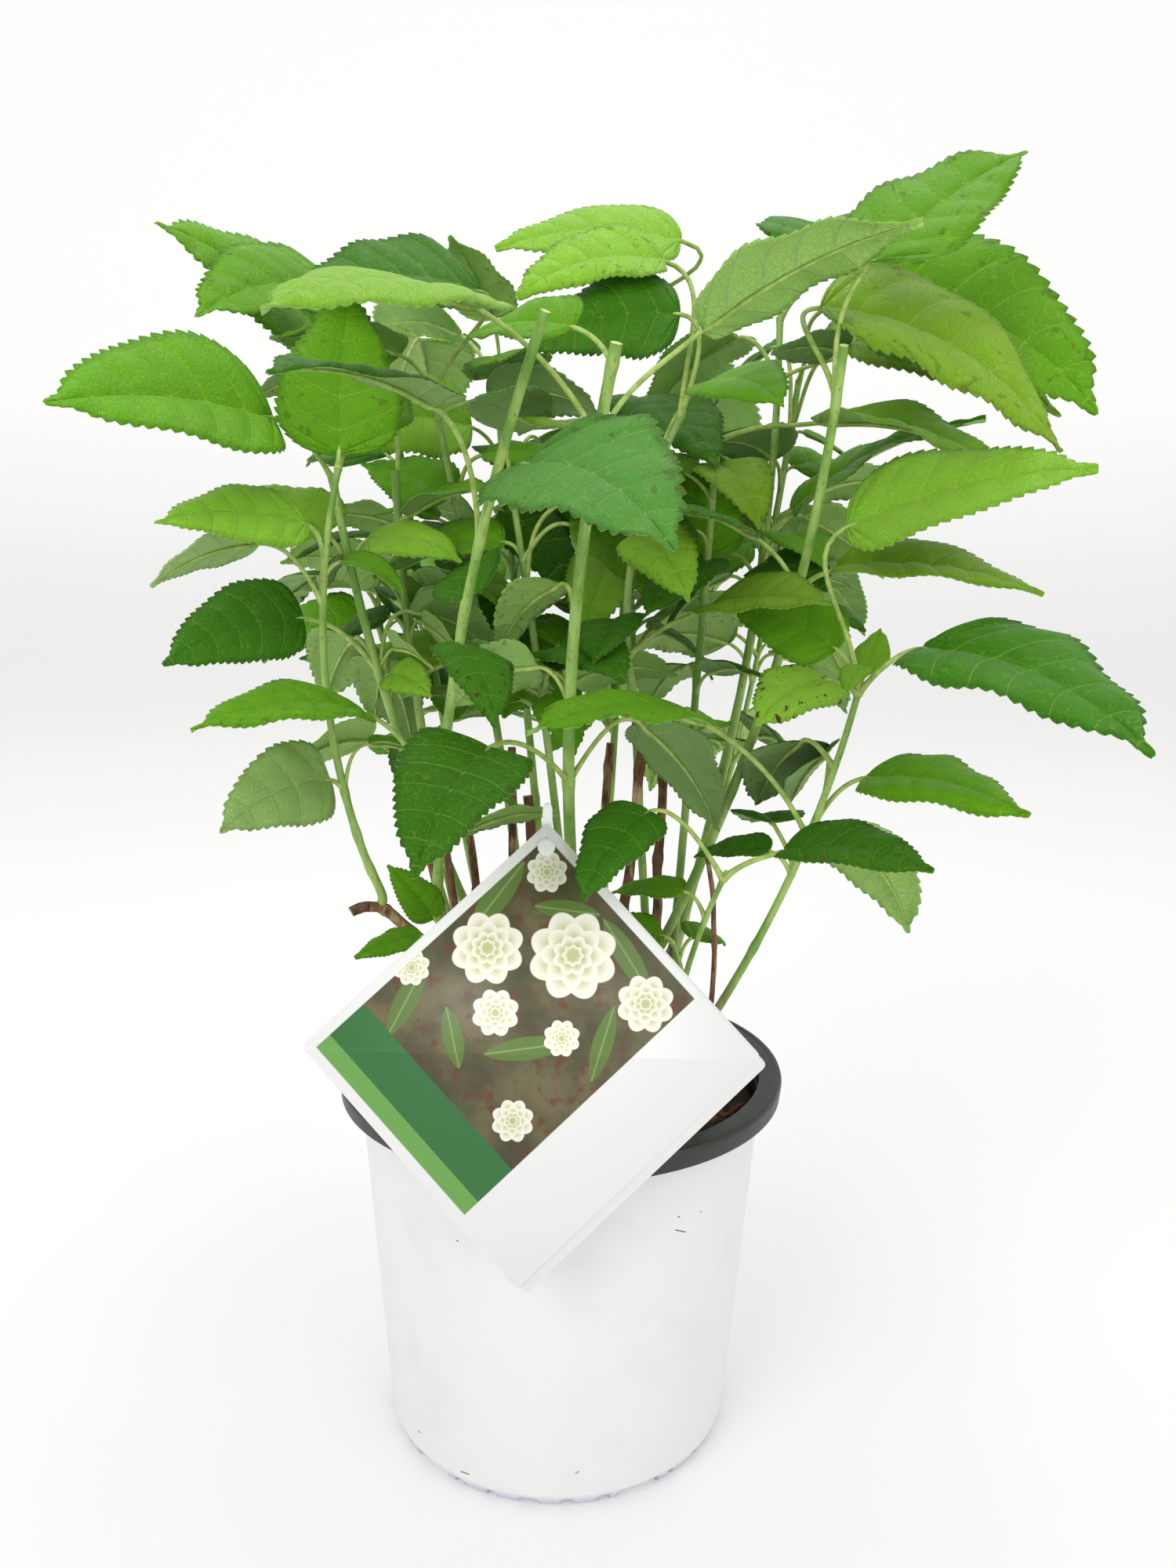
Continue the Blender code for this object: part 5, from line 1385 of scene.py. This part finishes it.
# %% Old wood
WOOD_STEPS = 96           # points along each piece
bark = Finish("old_bark", 0.85, Specular_IOR_Level=0.25)
spot = bark.place((1, 1, 0.18))
strips = bark.noise(spot, 420, 4, 0.65)
patches = bark.noise(bark.place((1, 1, 0.5)), 75, 3)
tone = bark.mix(patches.rise(0.38, 0.64), srgb(104, 74, 54), srgb(158, 122, 90))
tone = bark.mix(bark.noise(bark.place((1, 1, 0.4)), 120, 2).rise(0.55, 0.68), tone, srgb(184, 156, 122))
tone = bark.mix(strips.rise(0.5, 0.62) * 0.8, tone, srgb(66, 44, 34))
bark.colour(tone).bump(strips, 1.2 * MM)
cut = Finish("cut_wood", 0.8, Specular_IOR_Level=0.25)
cut.colour(cut.mix(cut.noise(cut.place(), 900, 3).rise(0.4, 0.6), srgb(196, 168, 124), srgb(158, 124, 84)))

CROOK_SHIFTS = (3.7, 21.3, 40.9)      # for a vector's three parts, as noise_vector starts from the clock


def old_wood_line(name, rng):
    """Points and radii of a piece of old wood, a little crooked and knotted."""
    limb = limbs[name]
    length = (limb.top - limb.foot).length
    nodes, at = [], rng.uniform(0.1, 0.2)
    while at < 0.97:
        nodes.append(at)
        at += rng.uniform(26, 42) * MM / length
    line = [(limb.foot - limb.foothold * 4 * MM, limb.radius(0) * 1.5)]
    start = rng.uniform(0, 50)
    for step in range(WOOD_STEPS + 1):
        share = step / WOOD_STEPS
        flare = 1 + 0.35 * math.exp(-share * length / (4 * MM))
        along = share * length / (24 * MM)
        crook = Vector([noise.noise((start, shift, along)) for shift in CROOK_SHIFTS])
        crook *= 2 * MM * math.sin(math.pi * share)
        line.append((limb.at(share) + crook,
                     limb.radius(share) * flare * 0.92 * swollen(share, nodes, 2.6 * MM / length, 0.3)))
    return line


wood_draw = random.Random(12)
wood = swept_limbs("old_wood", [old_wood_line(name, wood_draw) for name in OLD_WOOD],
                   {"Ring Spacing": 1.0 * MM, "Sides": 16, "Relief": 0.9 * MM, "Relief Scale": 260.0,
                    "Stretch": 0.22}, bark.material, cut.material)
hand_over(wood, "old_bark", *OLD_WOOD)

# %% [markdown]
# Green stems are pale green with a darker, slightly purplish grain. Near their foot they are turning to
# wood. Small brown breathing pores dot them, drawn by the distance to Voronoi points. The sweep tree is
# used again with finer relief and other materials.

# %% Green stems
STEM_STEPS = 120          # points along each stem
green = Finish("green_stem", 0.5, Specular_IOR_Level=0.4)
spot = green.place((1, 1, 0.25))
height = green.axis(green.place(), 2)
speckle = green.cells(green.place((1, 1, 0.5)), 420, "F1")
young = green.mix(green.noise(spot, 130, 3).rise(0.35, 0.65), srgb(112, 154, 62), srgb(158, 188, 100))
young = green.mix((1 - speckle.rise(0.12, 0.24)) * 0.5, young, srgb(104, 92, 60))
aged = green.mix(green.noise(spot, 210, 4).rise(0.4, 0.6), srgb(106, 84, 56), srgb(150, 128, 84))
ripe = (height + green.noise(green.place(), 45, 2) * 0.12).rise(0.225, 0.3)
green.colour(green.mix(ripe, aged, young)).bump(green.noise(spot, 500, 3), 0.25 * MM)
pith = Finish("cut_stem", 0.7, Specular_IOR_Level=0.3).colour(srgb(196, 210, 150))


def stem_line(name):
    """The stem's line from just inside what it stands on to its tip."""
    limb, stem = limbs[name], STEMS[name]
    length = (limb.top - limb.foot).length
    nodes = sorted({row[0] for row in stem["posed"]} | {row[0] for row in stem["grown"]})
    nodes += [nodes[0] * share for share in (0.3, 0.62)]
    line = [(limb.foot - limb.foothold * 3 * MM, limb.radius(0) * 1.25)]
    for step in range(STEM_STEPS + 1):
        share = step / STEM_STEPS
        lean = math.exp(-share * length / (5 * MM))
        place = limb.at(share) + (limb.foothold - limb.direction(0.01)) * (share * length * lean)
        radius = limb.radius(share) * (1 + 0.2 * lean) * swollen(share, nodes, 2.8 * MM / length, 0.2)
        line.append((place, radius))
    return line


stem_piece = swept_limbs("green_stems", [stem_line(name) for name in STEMS],
                         {"Ring Spacing": 2.0 * MM, "Sides": 12, "Relief": 0.25 * MM, "Relief Scale": 300.0,
                          "Stretch": 0.3}, green.material, pith.material)
hand_over(stem_piece, "green_stem", *STEMS)

# %% [markdown]
# Stalks clasp the stem with a broad foot, and run on under the blade as its raised midrib, thinning to the
# tip. Each is one more line for the sweep tree, so stalk and midrib join without a seam.

# %% Leaf stalks
stalk_finish = Finish("leaf_stalk", 0.5, Specular_IOR_Level=0.4)
grain = stalk_finish.noise(stalk_finish.place(), 240, 3)
stalk_finish.colour(stalk_finish.mix(grain.rise(0.35, 0.65), srgb(140, 170, 74), srgb(174, 194, 108)))
STALK_STEPS, RIB_STEPS = 12, 18
RIB_END = 0.93            # of the blade's length
GROOVE = 0.006            # of the blade's length, how deep the midrib lies
SKIN = 0.5 * MM           # thickness of a blade


def stalk_points(leaf):
    """The stalk and the midrib it turns into, as (point, radius)."""
    line = []
    for step in range(STALK_STEPS + 1):
        share = step / STALK_STEPS
        foot = math.exp(-share * leaf.stalk / (3 * MM))
        line.append((leaf.stalk_at(share), stalk_radius(leaf) * (1.0 - 0.12 * share + 0.65 * foot)))
    for step in range(1, RIB_STEPS + 1):
        along = RIB_END * step / RIB_STEPS
        below = leaf.frame(along)[1] * (GROOVE * leaf.length + SKIN / 2 + rib_radius(leaf, along) * 0.75)
        line.append((leaf.rib_at(along) - below * min(1, along / 0.06), rib_radius(leaf, along)))
    return line


def rib_radius(leaf, along):
    """Radius of the midrib here."""
    return stalk_radius(leaf) * (0.88 * max(0.0, 1 - along / RIB_END) ** 0.8 + 0.16)


stalks = swept_limbs("leaf_stalks", [stalk_points(leaf) for leaf in every_leaf],
                     {"Ring Spacing": 2.2 * MM, "Sides": 8, "Relief": 0.0, "Relief Scale": 300.0,
                      "Stretch": 1.0}, stalk_finish.material)
hand_over(stalks, "leaf_green")

# %% [markdown]
# ## Leaf blades
# A hydrangea's blade is broad, with a saw edge and six to nine pairs of side veins that arch towards the
# tip. Between the veins it bulges up, which gives the quilted look. The mesh follows this pattern: every
# row of corners runs from the midrib out to the margin along the path of a side vein, so the veins, the
# bulges and the teeth all lie on rows. The two skins are 0.5 mm apart and closed by a rim.

# %% Blade pattern


class Pattern:
    """The rows and columns of a blade: where each corner lies on it, and how the skins are lifted there."""

    def __init__(self, teeth, lanes, veins):
        self.lanes = np.array(lanes)
        rows = []
        for tooth in range(teeth):
            rows += [(tooth + phase) / teeth for phase in (0.0, 0.38, 0.78)]
        self.rows = np.array(rows[1:])
        self.push = np.array(([0.0, 0.6, 1.0] * teeth)[1:])      # how far each row's margin stands out
        count = len(self.rows)
        self.vein_rows = [round((vein + 0.55) * count / veins) for vein in range(veins)]
        gaps = np.abs(np.arange(count)[:, None] - np.array(self.vein_rows)[None, :]).min(axis=1)
        self.on_vein = (gaps == 0).astype(float)
        self.bulge = np.sin(np.minimum(gaps / (count / veins / 2), 1.0) * math.pi / 2)
        self.width = 2 * len(lanes) - 1
        self.faces = self.connect()

    def connect(self):
        """Faces of the closed shell over foot, rows and tip of both skins."""
        rows, width = len(self.rows), self.width
        skin = rows * width + 2
        foot, tip = rows * width, rows * width + 1
        upper = []
        for row in range(rows - 1):
            upper += [(row * width + i, (row + 1) * width + i, (row + 1) * width + i + 1, row * width + i + 1)
                      for i in range(width - 1)]
        upper += [(foot, i, i + 1) for i in range(width - 1)]
        last = (rows - 1) * width
        upper += [(last + i, tip, last + i + 1) for i in range(width - 1)]
        lower = [tuple(skin + corner for corner in reversed(face)) for face in upper]
        border = [foot] + [row * width for row in range(rows)] + [tip]
        border += [row * width + width - 1 for row in range(rows - 1, -1, -1)]
        rim = [(after, here, skin + here, skin + after)
               for here, after in zip(border, border[1:] + border[:1])]
        return upper + lower + rim


LARGE_PATTERN = Pattern(26, (0, 0.035, 0.15, 0.3, 0.46, 0.62, 0.78, 0.91, 1.0), 9)
SMALL_PATTERN = Pattern(20, (0, 0.05, 0.22, 0.45, 0.68, 0.88, 1.0), 7)
FINE_PATTERN = Pattern(15, (0, 0.07, 0.4, 0.8, 1.0), 6)
DENSE_LEAF = 58 * MM      # main leaves longer than this have the large pattern
FAN = 0.2                 # share of the margin whose veins spring from the blade's foot
print("faces of a blade", *(len(pattern.faces) for pattern in (LARGE_PATTERN, SMALL_PATTERN, FINE_PATTERN)))

# %% [markdown]
# The corners of one half of a blade are worked out as arrays of rows and lanes, which is far quicker than
# one corner at a time. Teeth push the margin out, the quilting lifts the skin between the veins, and slow
# waves and a curled edge give each leaf its own look.

# %% Blade corners
TOOTH_DEPTH = 0.021       # of the blade's length
QUILT_HEIGHT = 0.0105     # of the blade's length


def fine_outline(along):
    """Half width as a share of the widest: the limb's outline with a rounded foot and a drawn-out tip."""
    along = np.clip(along, 0, 1)
    body = np.maximum(np.sin(math.pi * along ** 0.57), 0) ** 0.74 * (1 - 0.25 * along) / 0.93
    pinch = 0.08 * np.exp(-((along - 0.915) / 0.05) ** 2)
    return np.maximum(body - pinch, 0)


def even_margin():
    """Shares of the length at evenly spaced places along the margin, as a table to look up."""
    along = np.linspace(0, 1, 1500) ** 1.6
    across = fine_outline(along) * BLADE_HALF_WIDTH
    run = np.concatenate([[0], np.cumsum(np.hypot(np.diff(along), np.diff(across)))])
    return run / run[-1], along


MARGIN_RUN, MARGIN_ALONG = even_margin()


def side_rows(pattern, leaf, rng):
    """Place of each corner of one half: share along the blade, lateral distance, lift, for rows and lanes."""
    margin = np.interp(pattern.rows, MARGIN_RUN, MARGIN_ALONG)[:, None]
    lane = pattern.lanes[None, :]
    root = np.maximum(0.02 * margin, (margin - FAN) / (1 - FAN))
    along = root + (margin - root) * (0.62 * lane + 0.38 * lane ** 2.4)
    half = fine_outline(along) * BLADE_HALF_WIDTH * leaf.length
    lateral = half * lane
    depth = TOOTH_DEPTH * leaf.length * np.minimum(1, fine_outline(margin) / 0.35)
    at_edge = (lane == 1.0)
    lateral = lateral + at_edge * depth * pattern.push[:, None]
    along = along + at_edge * 0.006 * pattern.push[:, None]
    quilt = (pattern.bulge[:, None] - 0.62) * np.sin(math.pi * np.clip(lane, 0, 1) ** 0.8) ** 0.7
    lift = QUILT_HEIGHT * leaf.length * quilt
    lift -= GROOVE * leaf.length * np.exp(-(lane / 0.07) ** 2)
    phase, waves = rng.uniform(0, 6.28), rng.uniform(2.2, 3.4)
    lift = lift + leaf.wave * leaf.length * np.sin(waves * 2 * math.pi * margin + phase) * lane ** 2.2
    lift = lift + 0.012 * leaf.length * np.sin(3.1 * along * 2 + phase * 2) * lane
    lift = lift - rng.uniform(-0.01, 0.05) * leaf.length * lane ** 3.4 * np.sin(math.pi * margin) ** 0.5
    share = np.clip(lateral / np.maximum(half, 1e-7), 0, 1.08) * (half > 0)
    return along, lateral, share, lift


def on_blade(leaf, along, side_sign, lateral, share, lift):
    """Places and normals on the blade, as Leaf.blade_at gives them, for whole arrays."""
    pitch, droop = math.radians(leaf.pitch), math.radians(leaf.droop)
    later = pitch - droop * along
    ahead = np.array(level(leaf.bearing + leaf.turn))
    beside = np.array(UP.cross(Vector(ahead)))
    above = np.array(UP)
    reach = leaf.length / droop * (math.sin(pitch) - np.sin(later))
    height = leaf.length / droop * (np.cos(later) - math.cos(pitch))
    rib = (np.array(leaf.base()) + ahead * reach[..., None] + above * height[..., None]
           + beside * (leaf.sweep * leaf.length * along * along)[..., None])
    normal = above * np.cos(later)[..., None] - ahead * np.sin(later)[..., None]
    roll = math.radians(leaf.roll)
    side = beside * math.cos(roll) + normal * math.sin(roll)
    normal = normal * math.cos(roll) - beside * math.sin(roll)
    fold = leaf.fold * (1 - 0.35 * along)
    half = lateral / np.maximum(share, 1e-6)
    rise = half * (share * np.sin(fold) - leaf.cup * share * share)
    slope = np.sin(fold) - 2 * leaf.cup * share
    place = rib + side * (side_sign * lateral * np.cos(fold))[..., None] + normal * rise[..., None]
    out = normal * np.cos(fold)[..., None] - side * (side_sign * slope)[..., None]
    out /= np.linalg.norm(out, axis=-1, keepdims=True)
    return place + out * lift[..., None], out


print("margin table", len(MARGIN_RUN))

# %% [markdown]
# Both halves, the foot and the tip together make one middle surface, and the two skins lie half a thickness
# to either side of it. Each corner also carries values for the shader: which skin it is on, how near it is
# to a vein and to the margin, and its place on the flat sheet.

# %% Blade shell


def blade_mesh(leaf, pattern, rng):
    """Corners of the closed shell, and its side, vein and sheet values for each corner."""
    halves = []
    for sign in (-1, 1):
        along, lateral, share, lift = side_rows(pattern, leaf, rng)
        place, out = on_blade(leaf, along, sign, lateral, share, lift)
        vein = np.maximum(pattern.on_vein[:, None] * np.ones_like(share), (pattern.lanes[None, :] == 0) * 1.0)
        edge = np.ones_like(along) * pattern.lanes[None, :]
        sheet = np.stack([along, 0.5 + sign * lateral / leaf.length], axis=-1)
        halves.append((place, out, vein, edge, sheet))
    parts = []
    for right, left in zip(*halves):
        parts.append(np.concatenate([right[:, :0:-1], left], axis=1))
    place, out, vein, edge, sheet = parts
    ends_place, ends_out = on_blade(leaf, np.array([0.0, 1.0]), 1, np.zeros(2), np.zeros(2), np.zeros(2))
    place = np.concatenate([place.reshape(-1, 3), ends_place])
    out = np.concatenate([out.reshape(-1, 3), ends_out])
    vein = np.concatenate([vein.reshape(-1), [1.0, 1.0]])
    edge = np.concatenate([edge.reshape(-1), [0.0, 0.0]])
    sheet = np.concatenate([sheet.reshape(-1, 2), [[0, 0.5], [1, 0.5]]])
    corners = np.concatenate([place + out * SKIN / 2, place - out * SKIN / 2])
    under = np.concatenate([np.zeros(len(place)), np.ones(len(place))])
    return corners, under, np.tile(vein, 2), np.tile(edge, 2), np.tile(sheet, (2, 1))


print("corners of a large blade", 2 * (len(LARGE_PATTERN.rows) * LARGE_PATTERN.width + 2))

# %% [markdown]
# Each leaf colour is a material with a plain base colour. The attributes do the rest: the underside is
# paler, the veins are lighter and the finest net of veins is a Voronoi pattern in the blade's own sheet
# coordinates. Some leaves are spotted brown towards the edge.

# %% Leaf finishes
SHADES = {"d": srgb(58, 128, 10), "m": srgb(106, 176, 14), "l": srgb(146, 206, 54), "b": srgb(80, 148, 52),
          "p": srgb(168, 208, 122), "o": srgb(126, 172, 32)}
BLADE_VALUES = ("under", "vein", "edge", "tone", "spots")


def leaf_finish(letter, base):
    """One leaf colour: its upper side, its paler underside, its veins and its brown spots."""
    leaf = Finish("leaf_" + letter, 0.5, Specular_IOR_Level=0.14, Subsurface_Weight=0.4,
                  Subsurface_Scale=0.6 * MM, Subsurface_Radius=(1.0, 1.0, 0.35))
    sheet = leaf.uv("sheet")
    under, vein, edge, tone, spots = (leaf.attribute(name) for name in BLADE_VALUES)
    under = under.rise(0.45, 0.55)
    pale = tuple(0.5 * value + 0.5 * other for value, other in zip(base, srgb(184, 212, 140)))
    bright = tuple(0.6 * value + 0.4 * other for value, other in zip(base, srgb(176, 206, 90)))
    blotch = leaf.noise(sheet, 6, 3)
    top = leaf.mix(blotch.rise(0.3, 0.7) * 0.5, base, tuple(value * 0.72 for value in base))
    top = leaf.mix((tone + 1) * 0.5, tuple(value * 0.7 for value in base), top)
    net = 1 - leaf.cells(sheet, 34).rise(0.02, 0.09)
    fine = 1 - leaf.cells(sheet, 90).rise(0.03, 0.12)
    top = leaf.mix((net * 0.3 + fine * 0.1).clamped(), top, bright)
    lines = vein.rise(0.66, 0.98)
    top = leaf.mix(lines * 0.75, top, bright)
    top = leaf.mix(edge.rise(0.84, 1.0) * 0.45, top, tuple(value * 0.5 for value in base))
    low = leaf.mix((net * 0.35 + lines * 0.6).clamped(), pale, srgb(176, 196, 148))
    brown = (leaf.noise(sheet, 16, 3) + edge * 0.12).rise(0.68, 0.73) * spots
    colour = leaf.mix(under, top, low)
    colour = leaf.mix(brown.clamped(), colour, srgb(76, 60, 26))
    leaf.colour(colour)
    leaf.roughness(under * 0.2 + leaf.noise(sheet, 12, 2) * 0.1 + 0.4)
    raised = (net * 0.6 + fine * 0.25 + lines * 0.8) * (under * 2 - 1)
    leaf.bump(raised, 0.5 * MM)
    return leaf.material


leaf_materials = {letter: leaf_finish(letter, base) for letter, base in SHADES.items()}
print("leaf colours", list(leaf_materials))

# %% [markdown]
# Some two hundred leaves would be clumsy as objects of their own, and one mesh of them all too large, so
# they are joined into pieces of under 200,000 triangles. Each piece stands for the leafy masses of its
# stems. The small leaves are a piece of their own, with fewer faces to a blade, and stand for no solid.

# %% Leaf pieces


def foliage(name, kind, stems, rng):
    """One piece of all the blades of these stems. The main leaves stand for the stems' masses."""
    corners, faces = [], []
    columns = {key: [] for key in BLADE_VALUES}
    sheets, slots = [], []
    first = 0
    letters = list(SHADES)
    for stem in stems:
        for leaf in leaves[kind][stem]:
            leaf.wave = rng.uniform(0.006, 0.018)
            pattern = LARGE_PATTERN if leaf.length > DENSE_LEAF else SMALL_PATTERN
            if kind == "fine":
                pattern = FINE_PATTERN
            places, under, vein, edge, sheet = blade_mesh(leaf, pattern, rng)
            corners.append(places)
            faces += [tuple(first + corner for corner in face) for face in pattern.faces]
            slots += [letters.index(leaf.shade.lower())] * len(pattern.faces)
            count = len(places)
            tone, spots = rng.uniform(-0.6, 1), 1.0 if leaf.shade.isupper() else rng.choice((0.0, 0.0, 0.4))
            for key, values in zip(columns, (under, vein, edge, np.full(count, tone),
                                             np.full(count, spots))):
                columns[key].append(values)
            sheets.append(sheet + np.array([rng.uniform(0, 40), 0]))
            first += count
    mesh = bpy.data.meshes.new(name)
    mesh.from_pydata(np.concatenate(corners).tolist(), [], faces)
    for letter in letters:
        mesh.materials.append(leaf_materials[letter])
    mesh.polygons.foreach_set("material_index", slots)
    for key, values in columns.items():
        mesh.attributes.new(key, "FLOAT", "POINT").data.foreach_set("value", np.concatenate(values))
    corner_of = np.empty(len(mesh.loops), dtype=np.int32)
    mesh.loops.foreach_get("vertex_index", corner_of)
    mesh.uv_layers.new(name="sheet").data.foreach_set("uv", np.concatenate(sheets)[corner_of].ravel())
    made = show(name, mesh)
    return hand_over(made, "leaf_green", *["leaves_" + stem[5:] for stem in stems if kind == "main"])


GROUPS = {
    "leaves_left": ("stem_1", "stem_2", "stem_3", "stem_4", "stem_17", "stem_21"),
    "leaves_middle": ("stem_5", "stem_6", "stem_7", "stem_8", "stem_16"),
    "leaves_right": ("stem_10", "stem_11", "stem_12", "stem_13", "stem_14", "stem_22"),
    "leaves_back": ("stem_9", "stem_15", "stem_18", "stem_19", "stem_20"),
}
leaf_draw = random.Random(23)
for name, stems in GROUPS.items():
    foliage(name, "main", stems, leaf_draw)
foliage("fine_leaves", "fine", STEMS, leaf_draw)
